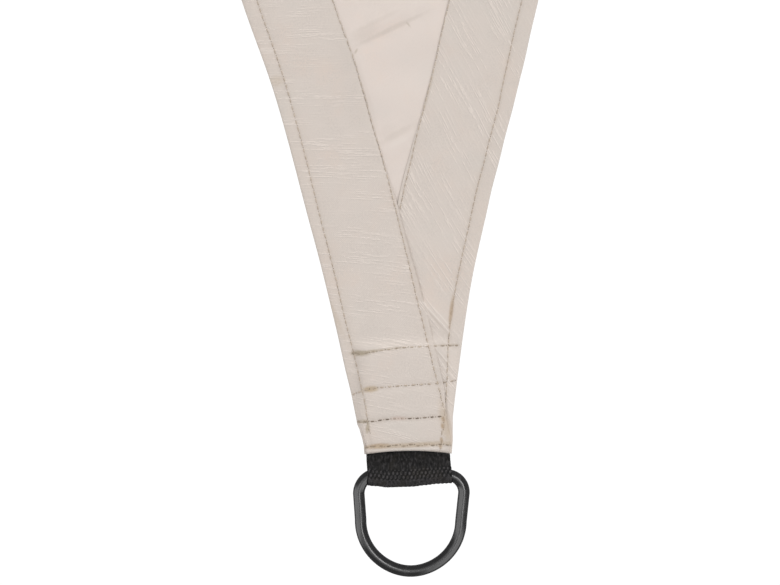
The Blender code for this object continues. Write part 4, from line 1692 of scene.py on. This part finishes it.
@dataclass(frozen=True)
class BlackCoat:
    """Glossy black coat on steel wire, with faint scuffs."""

    colour: Colour = (0.0135, 0.0135, 0.0140)
    scuffed: Colour = (0.034, 0.034, 0.035)
    roughness: float = 0.16

    def make(self) -> Material:
        """Build the material.

        Returns:
            The material.
        """
        made, nodes = new_material("black coated wire")
        position = nodes.place()
        scuffs = nodes.span(nodes.noise(position, 1 / (3.0 * MM), 4.0, 0.7), 0.58, 0.75)
        colour = nodes.mix(scuffs, self.colour, self.scuffed)
        rough = nodes.span(nodes.noise(position, 1 / (6 * MM), 3.0), 0.3, 0.75, self.roughness, 0.30)
        waves = nodes.noise(position, 1 / (5 * MM), 2.0, 0.5)
        coat(nodes, colour, rough, 0.5, waves, 0.05 * MM)
        return made


@dataclass(frozen=True)
class PaleFloor:
    """A plain white floor, so brightly lit that the camera sees no shadow on it."""

    colour: Colour = (0.90, 0.90, 0.90)
    seen_white: float = 1.05

    def make(self) -> Material:
        """Build the material.

        Returns:
            The material.
        """
        made, nodes = new_material("pale floor")
        matt = nodes.add("ShaderNodeBsdfDiffuse", {"Color": rgba(self.colour)}).outputs[0]
        glow = {"Color": (1.0, 1.0, 1.0, 1.0), "Strength": self.seen_white}
        lit = nodes.add("ShaderNodeEmission", glow).outputs[0]
        seen = nodes.add("ShaderNodeLightPath").outputs["Is Camera Ray"]
        shader = nodes.add("ShaderNodeMixShader", {0: seen, 1: matt, 2: lit})
        nodes.add("ShaderNodeOutputMaterial", {"Surface": shader.outputs[0]})
        return made


# --- Geometry Nodes: stitches, webbing, wire ---


class ShapeTree:
    """A Geometry Nodes tree with named inputs, and the way to turn what it makes into a plain mesh."""

    def __init__(self, name: str, sizes: dict[str, tuple[str, Any]]) -> None:
        """Start the tree.

        Args:
            name: the tree's name.
            sizes: the inputs, each with its socket type and value.
        """
        self.tree = bpy.data.node_groups.new(name, "GeometryNodeTree")
        self.values: dict[str, Any] = {}
        face = self.tree.interface
        face.new_socket(name="Geometry", in_out="INPUT", socket_type="NodeSocketGeometry")
        for title, (kind, value) in sizes.items():
            socket = face.new_socket(name=title, in_out="INPUT", socket_type=kind)
            self.values[socket.identifier] = value
        face.new_socket(name="Geometry", in_out="OUTPUT", socket_type="NodeSocketGeometry")
        self.nodes = Nodes(self.tree)
        self.source = self.nodes.add("NodeGroupInput").outputs

    def close(self, geometry: Socket) -> None:
        """End the tree with what it makes."""
        self.nodes.add("NodeGroupOutput", {0: geometry})

    def run(self, start: Object, name: str) -> Object:
        """Run the tree on an object and keep the result.

        Args:
            start: the object that the tree starts from, which is removed.
            name: name of the new piece.

        Returns:
            The new piece, a plain mesh at the origin.
        """
        modifier = start.modifiers.new("shape", "NODES")
        modifier.node_group = self.tree
        for identifier, value in self.values.items():
            modifier[identifier] = value
        start.update_tag()
        graph = bpy.context.evaluated_depsgraph_get()
        graph.update()
        mesh = bpy.data.meshes.new_from_object(start.evaluated_get(graph), depsgraph=graph)
        mesh.name = name
        start.modifiers.remove(modifier)
        bpy.data.objects.remove(start, do_unlink=True)
        return linked(name, mesh)


def line_object(name: str, lines: Iterable[Sequence[Vector]], extra: dict[str, list[float]]) -> Object:
    """A mesh of open lines with attributes on its points.

    Args:
        name: the object's name.
        lines: the lines' points.
        extra: values of each attribute, for all points of all lines in order.

    Returns:
        The new object.
    """
    points: list[Vector] = []
    edges: list[tuple[int, int]] = []
    for line in lines:
        start = len(points)
        points += list(line)
        edges += [(start + i, start + i + 1) for i in range(len(line) - 1)]
    mesh = bpy.data.meshes.new(name)
    mesh.from_pydata([tuple(p) for p in points], edges, [])
    for title, values in extra.items():
        attribute = mesh.attributes.new(title, "FLOAT", "POINT")
        attribute.data.foreach_set("value", values)
    return linked(name, mesh)


@dataclass
class Sewing:
    """All stitches: two seams along every hem and four rows across every corner.

    Attributes:
        pitch: from one needle hole to the next.
        seam_stitch, row_stitch: thread that shows of each stitch of a hem's seam and of a corner's row.
        left_starts: distance from a corner's end where its left hem's outer seam starts.
        right_starts: the same, of its right hem's seams.
        crossing_ends: distance past which the left hem covers no seam of the right one.
        lowest: height over the floor under which no stitch reaches.
    """

    cloth: SailCloth
    surface: BVHTree
    pitch: float = 3.35 * MM
    thread: float = 0.50 * MM
    row_thread: float = 0.60 * MM
    seam_stitch: float = 2.75 * MM
    row_stitch: float = 2.05 * MM
    left_starts: float = 8.6 * MM
    right_starts: float = 18 * MM
    crossing_ends: float = 150 * MM
    lowest: float = 0.02 * MM

    def tree(self, thread: Material, hole: Material, stitch: float, thick: float) -> ShapeTree:
        """The tree that lays stitches along lines, each with a dark disc of painted shade where the needle
        went through.

        Args:
            thread: the thread's material.
            hole: the material of the painted shade where the needle went through.
            stitch: length of thread that shows of each stitch.
            thick: diameter of the thread.

        Returns:
            The tree.
        """
        sizes = {
            "Pitch": (FLOAT, self.pitch),
            "Stitch length": (FLOAT, stitch),
            "Thread radius": (FLOAT, thick / 2),
            "Seed": ("NodeSocketInt", 7),
        }
        shape = ShapeTree("stitches", sizes)
        nodes, source = shape.nodes, shape.source
        curves = nodes.add("GeometryNodeMeshToCurve", {0: source["Geometry"]}).outputs[0]
        spacing = {"Curve": curves, "Length": source["Pitch"]}
        points = nodes.add("GeometryNodeResampleCurve", spacing, mode="LENGTH")
        tangent = nodes.add("GeometryNodeInputTangent").outputs[0]
        swing = nodes.random(-0.09, 0.09, source["Seed"])
        leaning = nodes.vector("ADD", tangent, nodes.joined(swing, swing)).outputs[0]
        turn = nodes.add("FunctionNodeAxesToRotation", {0: leaning, 1: (0.0, 0.0, 1.0)})
        turn.primary_axis = "X"
        turn.secondary_axis = "Z"
        size = nodes.joined(nodes.random(0.88, 1.12, source["Seed"]), 1.0, 1.0)
        placing = {"Points": points.outputs[0], "Rotation": turn.outputs[0], "Scale": size}
        joined = nodes.add("GeometryNodeJoinGeometry")
        kinds = ((self.one_stitch(nodes, source), thread), (self.one_hole_shade(nodes, source), hole))
        for instance, finish in kinds:
            laid = nodes.add("GeometryNodeInstanceOnPoints", {**placing, "Instance": instance}).outputs[0]
            nodes.tree.links.new(nodes.dressed(laid, finish), joined.inputs[0])
        shape.close(joined.outputs[0])
        return shape

    def one_stitch(self, nodes: Nodes, source: Any) -> Socket:
        """A short arch of thread whose thinner ends dive into the cloth.

        Args:
            nodes: the tree's nodes.
            source: the tree's inputs.

        Returns:
            The stitch's geometry.
        """
        half = nodes.times(source["Stitch length"], 0.5)
        back = nodes.times(half, -1.0)
        low = nodes.times(source["Thread radius"], -0.7)
        high = nodes.times(source["Thread radius"], 1.7)
        ends = {"Start": nodes.joined(back, 0.0, low), "End": nodes.joined(half, 0.0, low)}
        inputs = {"Resolution": 4, "Middle": nodes.joined(0.0, 0.0, high), **ends}
        bow = nodes.add("GeometryNodeCurveQuadraticBezier", inputs)
        share = nodes.add("GeometryNodeSplineParameter").outputs["Factor"]
        arch = nodes.math("SINE", nodes.times(share, math.pi))
        wide = nodes.plus(0.5, nodes.times(arch, 0.5))
        tapered = nodes.add("GeometryNodeSetCurveRadius", {"Curve": bow.outputs[0], "Radius": wide})
        around = {"Resolution": 5, "Radius": source["Thread radius"]}
        ring = nodes.add("GeometryNodeCurvePrimitiveCircle", around)
        sweep = {"Curve": tapered.outputs[0], "Profile Curve": ring.outputs[0], "Fill Caps": True}
        tube = nodes.add("GeometryNodeCurveToMesh", sweep)
        if "Scale" in tube.inputs:
            radius = nodes.add("GeometryNodeInputRadius").outputs[0]
            nodes.feed(tube.inputs["Scale"], radius)
        return nodes.add("GeometryNodeSetShadeSmooth", {"Geometry": tube.outputs[0]}).outputs[0]

    def one_hole_shade(self, nodes: Nodes, source: Any) -> Socket:
        """A flat dark spot of painted shade, just above the cloth, at the stitch's end.

        Args:
            nodes: the tree's nodes.
            source: the tree's inputs.

        Returns:
            The geometry of the spot of painted shade.
        """
        around = {"Vertices": 6, "Radius": nodes.times(source["Thread radius"], 0.95)}
        disc = nodes.add("GeometryNodeMeshCircle", around, fill_type="NGON")
        beside = nodes.joined(nodes.times(source["Pitch"], 0.5), 0.0, 0.03 * MM)
        moved = nodes.add("GeometryNodeTransform", {"Geometry": disc.outputs[0], "Translation": beside})
        return moved.outputs[0]

    def on_surface(self, plan: Vector) -> Vector:
        """The point of the cloth's upper surface over a plan point, level with its rim outside the cloth.

        Args:
            plan: the plan point.

        Returns:
            The point.
        """
        over_all = Vector((plan.x, plan.y, 0.1))
        hit = self.surface.ray_cast(over_all, Vector((0, 0, -1)))[0]
        return hit if hit is not None else Vector((plan.x, plan.y, self.surface.find_nearest(over_all)[0].z))

    def seam_lines(self, side: Side) -> list[list[Vector]]:
        """Both seams of a side's hem, where they show.

        Args:
            side: the side.

        Returns:
            The outer seam's points and the inner seam's.
        """
        cloth = self.cloth
        zone = side.share(Side.ZONE)
        in_corner, between = 120, 320
        shares = [zone * i / in_corner for i in range(in_corner + 1)]
        shares += [zone + (1 - 2 * zone) * i / between for i in range(1, between)]
        shares += [1 - zone * i / in_corner for i in range(in_corner, -1, -1)]
        outer, inner = [], []
        for t in shares:
            station = side.station(t)
            for line, distance in ((outer, station.outer_seam), (inner, station.inner_seam)):
                point = station.at(distance)
                x, y = station.corner.local(point)
                if station.is_left:
                    shows = y > (self.left_starts if line is outer else 0.3 * MM)
                else:
                    hidden_by = -math.inf
                    if y < self.crossing_ends:
                        hidden_by = cloth.free_edge(station.corner, max(y, 0.0), left=True)
                    shows = x > hidden_by + 0.3 * MM and y > self.right_starts
                if shows:
                    line.append(self.on_surface(cloth.arch(station, point, y)))
        return [outer, inner]

    def row_lines(self, corner: Corner) -> tuple[list[list[Vector]], list[float]]:
        """The rows of stitches across a corner, and the dirt at each of their points.

        Args:
            corner: the corner.

        Returns:
            The lines' points, and the dirt at all of them in order.
        """
        lines, dirt = [], []
        for row in corner.sewn.rows:
            start, end = row.line[0][0], row.line[-1][0]
            steps = 90
            line = []
            for i in range(steps + 1):
                x = start + (end - start) * i / steps
                place = corner.arched(x * MM, (straight(row.line, x) + row.wiggle * math.sin(x * 1.05)) * MM)
                line.append(self.on_surface(place))
                dirt.append(straight(row.dirt, x))
            lines.append(line)
        return lines, dirt

    def build(self, thread: Material, hole: Material) -> list[Object]:
        """Make all stitches.

        Args:
            thread: the thread's material.
            hole: the material of the painted shade where the needle went through.

        Returns:
            One piece for each side's seams and one for each corner's rows.
        """
        seam_shape = self.tree(thread, hole, self.seam_stitch, self.thread)
        row_shape = self.tree(thread, hole, self.row_stitch, self.row_thread)
        made = []
        for side in self.cloth.sides:
            lines = self.seam_lines(side)
            dirt = [0.12 + 0.25 * unevenness(p, 0.05, 5.0) for line in lines for p in line]
            start = line_object("seam lines", lines, {"dirt": dirt})
            made.append(seam_shape.run(start, f"hem_seams_{side.index + 1}"))
        for corner in self.cloth.corners:
            lines, dirt = self.row_lines(corner)
            start = line_object("row lines", lines, {"dirt": dirt})
            made.append(row_shape.run(start, f"corner_stitches_{corner.index + 1}"))
        for piece in made:
            for vertex in piece.data.vertices:
                vertex.co.z = max(vertex.co.z, self.lowest)
        return made


@dataclass
class WebbingLoop:
    """A length of webbing that comes out of the corner, goes round the ring's bar and back in.

    Attributes:
        thick: thickness from yarn top to yarn top.
        bar_beyond, loop_beyond: from the cloth's end to the ring's bar and to the loop's round end.
        inner: radius inside the round end.
        bar_height: of the bar's middle over the floor.
        tail: how far both ends reach into the corner, at heights tail_low and tail_high.
        spread: from the cloth's end to where the loop's two layers are fully apart.
        pick, yarn: from one float to the next one along its yarn, and from one yarn to its neighbour.
        slant: shift to the right from the cloth's end to the round end.
        skew: how far a row of floats strays along the webbing for each metre across it.
    """

    corner: Corner
    width: float = 38 * MM
    thick: float = 1.1 * MM
    bar_beyond: float = 11.0 * MM
    loop_beyond: float = 12.4 * MM
    inner: float = 2.8 * MM
    bar_height: float = 4.0 * MM
    tail: float = 46 * MM
    tail_low: float = 0.92 * MM
    tail_high: float = 2.07 * MM
    spread: float = 8 * MM
    pick: float = 1.72 * MM
    yarn: float = 1.85 * MM
    relief: float = 0.24 * MM
    slant: float = 0.3 * MM
    skew: float = -0.036

    def path(self) -> list[Vector]:
        """Middle line of the webbing in the corner's y-z plane: lower tail, round the bar, upper tail.

        Returns:
            The line's points.
        """
        radius = self.inner + self.thick / 2
        low, high = self.bar_height - radius, self.bar_height + radius
        lower, upper = [(self.tail, self.tail_low)], [(self.tail, self.tail_high)]
        hidden = 1.5 * MM
        lower.append((hidden, self.tail_low))
        upper.append((hidden, self.tail_high))
        steps, flat_steps, turn_steps = 26, 13, 44
        for i in range(steps + 1):
            t = i / steps
            lower.append((-self.spread * t, self.tail_low + (low - self.tail_low) * smooth(t)))
            upper.append((-self.spread * t, self.tail_high + (high - self.tail_high) * smooth(t)))
        turn = []
        flat = self.loop_beyond - self.spread
        for i in range(1, flat_steps):
            lower.append((-self.spread - flat * i / flat_steps, low))
            upper.append((-self.spread - flat * i / flat_steps, high))
        for i in range(turn_steps + 1):
            angle = math.pi * i / turn_steps
            out, up = radius * math.sin(angle), radius * math.cos(angle)
            turn.append((-self.loop_beyond - out, self.bar_height - up))
        return [Vector((0, y, z)) for y, z in lower + turn + upper[::-1]]

    def tree(self, finish: Material) -> ShapeTree:
        """The tree that sweeps the webbing's section along its path and raises the yarns' floats.

        Args:
            finish: its material.

        Returns:
            The tree.
        """
        sizes = {
            "Width": (FLOAT, self.width),
            "Thickness": (FLOAT, self.thick - 2 * self.relief),
            "Pick": (FLOAT, self.pick),
            "Yarn": (FLOAT, self.yarn),
            "Relief": (FLOAT, self.relief),
            "Section step": (FLOAT, 0.34 * MM),
        }
        shape = ShapeTree("webbing", sizes)
        nodes, source = shape.nodes, shape.source
        curve = nodes.add("GeometryNodeMeshToCurve", {0: source["Geometry"]}).outputs[0]
        length = nodes.add("GeometryNodeSplineParameter").outputs["Length"]
        path = nodes.marked(curve, "run", length)
        section_sizes = {"Width": source["Width"], "Height": source["Thickness"]}
        block = nodes.add("GeometryNodeCurvePrimitiveQuadrilateral", section_sizes).outputs[0]
        spacing = {"Curve": block, "Length": source["Section step"]}
        section = nodes.add("GeometryNodeResampleCurve", spacing, mode="LENGTH").outputs[0]
        place = nodes.parts(nodes.spot())
        sweep = {"Curve": path, "Profile Curve": nodes.marked(section, "across", place[0]), "Fill Caps": True}
        swept = nodes.add("GeometryNodeCurveToMesh", sweep).outputs[0]
        height = nodes.times(self.floats(nodes, source), self.over_bar(nodes, 5 * MM, 0.35))
        swept = nodes.marked(swept, "over bar", self.over_bar(nodes))
        swept = nodes.marked(swept, "past bar", self.past_bar(nodes))
        kept = nodes.marked(swept, "yarn", height)
        normal = nodes.add("GeometryNodeInputNormal").outputs[0]
        lift = nodes.times(height, source["Relief"])
        offset = nodes.add("ShaderNodeVectorMath", {0: normal, "Scale": lift}, operation="SCALE").outputs[0]
        raised = nodes.add("GeometryNodeSetPosition", {"Geometry": kept, "Offset": offset}).outputs[0]
        shaded = nodes.add("GeometryNodeSetShadeSmooth", {"Geometry": raised}).outputs[0]
        shape.close(nodes.dressed(shaded, finish))
        return shape

    def over_bar(self, nodes: Nodes, below: float = 1.7 * MM, least: float = 0.0) -> Socket:
        """Share by which the webbing is stretched over the bar, which spreads its floats.

        Args:
            nodes: the tree's nodes.
            below: how far beyond the bar it reaches.
            least: its value elsewhere.

        Returns:
            The share's socket, up to 1.
        """
        y = nodes.parts(nodes.spot())[1]
        low, high = -self.bar_beyond - below, -self.bar_beyond + 2.5 * MM
        share = nodes.times(nodes.span(y, low - 0.5 * MM, low), nodes.span(y, high + 0.8 * MM, high))
        return nodes.math("MAXIMUM", share, least)

    def past_bar(self, nodes: Nodes) -> Socket:
        """1 on the round end beyond the bar, else 0."""
        y = nodes.parts(nodes.spot())[1]
        return nodes.span(y, -self.bar_beyond - 1.5 * MM, -self.bar_beyond - 2.3 * MM)

    def floats(self, nodes: Nodes, source: Any) -> Socket:
        """Height of the yarns' floats from 0 to 1: tall ovals, each row of them staggered.

        Args:
            nodes: the tree's nodes.
            source: the tree's inputs.

        Returns:
            The height's socket.
        """
        run = nodes.add("GeometryNodeInputNamedAttribute", {"Name": "run"}).outputs[0]
        across = nodes.add("GeometryNodeInputNamedAttribute", {"Name": "across"}).outputs[0]
        strayed = nodes.plus(run, nodes.times(across, self.skew))
        picks = nodes.math("DIVIDE", strayed, source["Pick"])
        row = nodes.math("FLOOR", picks)
        along = nodes.minus(nodes.minus(picks, row), 0.5)
        stagger = nodes.times(nodes.math("MODULO", row, 2.0), 0.5)
        lean = nodes.times(along, 0.15)
        yarns = nodes.plus(nodes.math("DIVIDE", across, source["Yarn"]), nodes.plus(stagger, lean))
        beside = nodes.minus(nodes.math("FRACT", nodes.plus(yarns, 100.0)), 0.5)
        tall = nodes.times(nodes.times(along, along), 2.6)
        wide = nodes.times(nodes.times(beside, beside), 7.5)
        oval = nodes.plus(tall, wide)
        return nodes.math("SQRT", nodes.math("MAXIMUM", nodes.minus(1.0, oval), 0.0))

    def bent(self, x: float, y: float) -> Vector:
        """Shift of the loop's far end: it leans right and its round end isn't quite straight.

        Args:
            x: place across the loop.
            y: place along it.

        Returns:
            The shift.
        """
        far = smooth((-y - 3 * MM) / (9 * MM))
        bottom = ((-19, 0.75), (-16, 0.4), (-10, -0.4), (1, -0.45), (7, 0.0), (12, 0.4), (19, 0.5))
        return Vector((self.slant * far, eased(bottom, x / MM) * MM * far, 0))

    def build(self, finish: Material) -> Object:
        """Make the loop in its corner's place.

        Args:
            finish: the webbing's material.

        Returns:
            The new piece.
        """
        start = line_object("webbing path", [self.path()], {})
        made = self.tree(finish).run(start, f"ribbed_webbing_{self.corner.index + 1}")
        place = self.corner.matrix()
        flip = -1 if self.corner.index == 1 else 1
        for vertex in made.data.vertices:
            vertex.co += self.bent(flip * vertex.co.x, vertex.co.y)
            vertex.co = place @ vertex.co
        return made


@dataclass
class DRing:
    """A wire of round section bent to a D and closed.

    Attributes:
        shift: play to the right along the bar.
        swing: turn about the vertical, in degrees.
        wire: diameter of the wire with its coat.
        top_half: half the width between wire centres at the bar's end of the ring.
        bends: bend radius between bar and right leg, and between bar and left leg.
        arc: radius of the round end.
        arc_drop: from the bar to the centre of the round end.
        tip: how much further out the middle of the round end is.
    """

    corner: Corner
    shift: float
    swing: float
    wire: float = 5.3 * MM
    top_half: float = 23.9 * MM
    bends: tuple[float, float] = (7.9 * MM, 9.2 * MM)
    arc: float = 22.8 * MM
    arc_drop: float = 21.05 * MM
    tip: float = 0.28 * MM
    bar_beyond: float = 11.0 * MM
    bar_height: float = 4.0 * MM

    def path(self) -> list[Vector]:
        """Middle line of the wire in the ring's own plane, its bar on the x axis, counter-clockwise.

        Returns:
            The line's points.
        """
        steps, bend_steps = 96, 16
        path = []
        for i in range(steps + 1):
            angle = math.pi + math.pi * i / steps
            arc = self.arc + self.tip * bell(angle - 1.5 * math.pi, 0.42)
            path.append(Vector((arc * math.cos(angle), arc * math.sin(angle) - self.arc_drop, 0)))
        for way, first, bend in ((1, 0.0, self.bends[0]), (-1, math.pi / 2, self.bends[1])):
            centre = Vector((way * (self.top_half - bend), -bend, 0))
            for i in range(bend_steps + 1):
                angle = first + math.pi / 2 * i / bend_steps
                path.append(centre + Vector((math.cos(angle), math.sin(angle), 0)) * bend)
        path.append(path[0].copy())
        return path

    def tree(self, finish: Material) -> ShapeTree:
        """The tree that sweeps the wire's round section along its closed path.

        Args:
            finish: its material.

        Returns:
            The tree.
        """
        sizes = {"Wire radius": (FLOAT, self.wire / 2), "Sides": ("NodeSocketInt", 32)}
        shape = ShapeTree("wire", sizes)
        nodes, source = shape.nodes, shape.source
        near = {"Geometry": source["Geometry"], "Distance": 0.01 * MM}
        merged = nodes.add("GeometryNodeMergeByDistance", near).outputs[0]
        curve = nodes.add("GeometryNodeMeshToCurve", {0: merged}).outputs[0]
        around = {"Resolution": source["Sides"], "Radius": source["Wire radius"]}
        ring = nodes.add("GeometryNodeCurvePrimitiveCircle", around).outputs[0]
        swept = nodes.add("GeometryNodeCurveToMesh", {"Curve": curve, "Profile Curve": ring}).outputs[0]
        shaded = nodes.add("GeometryNodeSetShadeSmooth", {"Geometry": swept}).outputs[0]
        shape.close(nodes.dressed(shaded, finish))
        return shape

    def build(self, finish: Material) -> Object:
        """Make the ring in its corner's place, its far end resting on the floor.

        Args:
            finish: the coat's material.

        Returns:
            The new piece.
        """
        start = line_object("ring path", [self.path()], {})
        made = self.tree(finish).run(start, f"coated_ring_{self.corner.index + 1}")
        reach = self.arc_drop + self.arc + self.tip
        tilt = math.asin((self.bar_height - self.wire / 2 - 0.02 * MM) / reach)
        turn = Matrix.Rotation(math.radians(self.swing), 4, "Z") @ Matrix.Rotation(tilt, 4, "X")
        place = Matrix.Translation((self.shift, -self.bar_beyond, self.bar_height))
        made.data.transform(self.corner.matrix() @ place @ turn)
        return made


# --- Studio ---


@dataclass(frozen=True)
class RoundLight:
    """A round soft light that only glossy surfaces show: where it is, its radius and soft rim in degrees."""

    azimuth: float
    elevation: float
    radius: float
    rim: float
    level: float

    def shown(self, nodes: Nodes, way: Any) -> Any:
        """Its brightness in a direction.

        Args:
            nodes: the tree's nodes.
            way: the direction.

        Returns:
            The brightness.
        """
        azimuth, elevation = math.radians(self.azimuth), math.radians(self.elevation)
        flat = math.cos(elevation)
        middle = (math.cos(azimuth) * flat, math.sin(azimuth) * flat, math.sin(elevation))
        near = nodes.vector("DOT_PRODUCT", way, middle).outputs["Value"]
        outside = math.cos(math.radians(self.radius + self.rim))
        return nodes.span(near, outside, math.cos(math.radians(self.radius)), 0.0, self.level)


@dataclass(frozen=True)
class TallLight:
    """A tall soft light that only glossy surfaces show: its azimuth, half its spread, and its heights."""

    azimuth: float
    spread: float
    rim: float
    low: float
    high: float
    level: float

    def shown(self, nodes: Nodes, way: Any) -> Any:
        """Its brightness in a direction.

        Args:
            nodes: the tree's nodes.
            way: the direction.

        Returns:
            The brightness.
        """
        azimuth = math.radians(self.azimuth)
        flat = nodes.vector("NORMALIZE", nodes.vector("MULTIPLY", way, (1.0, 1.0, 0.0)).outputs[0]).outputs[0]
        near = nodes.vector("DOT_PRODUCT", flat, (math.cos(azimuth), math.sin(azimuth), 0.0)).outputs["Value"]
        outside = math.cos(math.radians(self.spread + self.rim))
        beside = nodes.span(near, outside, math.cos(math.radians(self.spread)))
        height = nodes.parts(way)[2]
        low, high = math.sin(math.radians(self.low)), math.sin(math.radians(self.high))
        up = nodes.times(nodes.span(height, low - 0.1, low + 0.1), nodes.span(height, high, high - 0.06))
        return nodes.times(nodes.times(beside, up), self.level)


@dataclass
class Studio:
    """A white floor, even white light, one soft key light, and a camera straight above the first corner."""

    corner: Corner
    frame_width: float = 355 * MM
    roll: float = 2.1
    aim: tuple[float, float] = (-8.19 * MM, 71.66 * MM)
    lens: float = 150.0
    sensor: float = 36.0
    ambient: float = 0.94
    key_strength: float = 1.40
    key_azimuth: float = 62.0
    key_elevation: float = 38.0
    key_spread: float = 34.0
    mirrored_room: float = 0.27
    seen_white: float = 1.05
    lights: tuple[RoundLight | TallLight, ...] = (
        TallLight(187, 13, 14, -12, 84, 2.75),
        TallLight(-48, 18, 16, 0, 84, 2.6),
        RoundLight(10, 78, 7, 5, 8.0),
        RoundLight(180, 86, 22, 12, 1.0),
    )

    def floor(self) -> None:
        """The floor, which mirrors show as nothing so that dark edges stay dark."""
        half = 30.0
        mesh = bpy.data.meshes.new("floor")
        corners = [(-half, -half, 0), (half, -half, 0), (half, half, 0), (-half, half, 0)]
        mesh.from_pydata(corners, [], [(0, 1, 2, 3)])
        mesh.materials.append(PaleFloor().make())
        made = linked("floor", mesh)
        made.visible_glossy = False

    def world(self) -> None:
        """Even white light all round, with the soft lights on black for glossy rays."""
        world = bpy.data.worlds.new("studio")
        bpy.context.scene.world = world
        world.use_nodes = True
        nodes = Nodes(world.node_tree)
        way = nodes.add("ShaderNodeTexCoord").outputs["Generated"]
        total: Any = self.mirrored_room
        for light in self.lights:
            total = nodes.plus(total, light.shown(nodes, way))
        path = nodes.add("ShaderNodeLightPath").outputs
        seen = nodes.plus(self.ambient, nodes.times(path["Is Camera Ray"], self.seen_white - self.ambient))
        mirrored = nodes.times(path["Is Glossy Ray"], nodes.minus(total, seen))
        strength = nodes.plus(seen, mirrored)
        back = nodes.add("ShaderNodeBackground", {"Color": (1.0, 1.0, 1.0, 1.0), "Strength": strength})
        nodes.add("ShaderNodeOutputWorld", {"Surface": back.outputs[0]})

    def key_light(self) -> None:
        """A soft sun from the upper right, low enough to show folds."""
        light = bpy.data.lights.new("key", "SUN")
        light.energy = self.key_strength
        light.angle = math.radians(self.key_spread)
        light.color = (1.0, 0.995, 0.985)
        azimuth, elevation = math.radians(self.key_azimuth), math.radians(self.key_elevation)
        flat = math.cos(elevation)
        shines = Vector((-math.cos(azimuth) * flat, -math.sin(azimuth) * flat, -math.sin(elevation)))
        made = linked("key", light)
        made.rotation_euler = shines.to_track_quat("-Z", "Y").to_euler()
        made.visible_glossy = False

    def camera(self) -> None:
        """A camera with a long lens, straight above the corner."""
        data = bpy.data.cameras.new("camera")
        data.lens = self.lens
        data.sensor_width = self.sensor
        made = linked("camera", data)
        roll = math.radians(self.roll)
        right = Vector((math.cos(roll), -math.sin(roll)))
        up = Vector((math.sin(roll), math.cos(roll)))
        aim = self.corner.end + right * self.aim[0] + up * self.aim[1]
        distance = self.frame_width * self.lens / self.sensor
        made.location = (aim.x, aim.y, distance + 2 * MM)
        made.rotation_euler = (0, 0, -roll)
        data.clip_start = 0.05
        data.clip_end = 100
        bpy.context.scene.camera = made

    def build(self) -> None:
        """Set up floor, light and camera."""
        self.floor()
        self.world()
        self.key_light()
        self.camera()
        view = bpy.context.scene.view_settings
        view.view_transform = "Standard"
        view.look = "None"
        view.exposure = 0.0
        view.gamma = 1.0


# --- The whole sail ---


def report(piece: Object) -> None:
    """Log a piece's name and number of triangles."""
    triangles = sum(len(polygon.vertices) - 2 for polygon in piece.data.polygons)
    log.info("%s: %d triangles before modifiers", piece.name, triangles)


def upper_surface(cloth: Object) -> BVHTree:
    """A search tree over the cloth with its thickness.

    Args:
        cloth: the cloth's piece.

    Returns:
        The search tree.
    """
    graph = bpy.context.evaluated_depsgraph_get()
    graph.update()
    return BVHTree.FromObject(cloth, graph)


def main() -> None:
    """Build all pieces, dress them, attach them to the root, and hide the model's parts that some of them
    replace.
    """
    logging.basicConfig(level=logging.INFO, format="%(name)s: %(message)s")
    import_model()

    cut = SailCut()
    corners = [
        Corner(cut, index, sewn) for index, sewn in enumerate((FIRST_CORNER, SECOND_CORNER, THIRD_CORNER))
    ]
    sides = [Side(cut, index, corners) for index in range(CORNERS)]
    Studio(corners[0]).build()

    stains_and_painted_light = StainAndPaintedLightGroup()
    coated = COATED_SIDE.make(stains_and_painted_light, corners)
    woven = WOVEN_SIDE.make(stains_and_painted_light, corners)
    thread = Thread().make(stains_and_painted_light, corners)
    hole = NeedleHoleShade().make()
    webbing = BlackWebbing().make()
    wire = BlackCoat().make()

    cloth = SailCloth(cut, corners, sides)
    sheet = cloth.build((coated, woven))
    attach(sheet, "root")
    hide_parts("sail_cloth")
    report(sheet)

    sewn_on = []
    for piece in Sewing(cloth, upper_surface(sheet)).build(thread, hole):
        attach(piece, "root")
        sewn_on.append(piece)
        report(piece)

    for corner, (shift, swing) in zip(corners, RING_LIES):
        loop = WebbingLoop(corner).build(webbing)
        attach(loop, "root")
        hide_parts(f"webbing_loop_{corner.index + 1}")
        ring = DRing(corner, shift, swing).build(wire)
        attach(ring, "root")
        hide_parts(f"d_ring_{corner.index + 1}")
        sewn_on += [loop, ring]
        report(loop)
        report(ring)


if __name__ == "__main__":
    main()
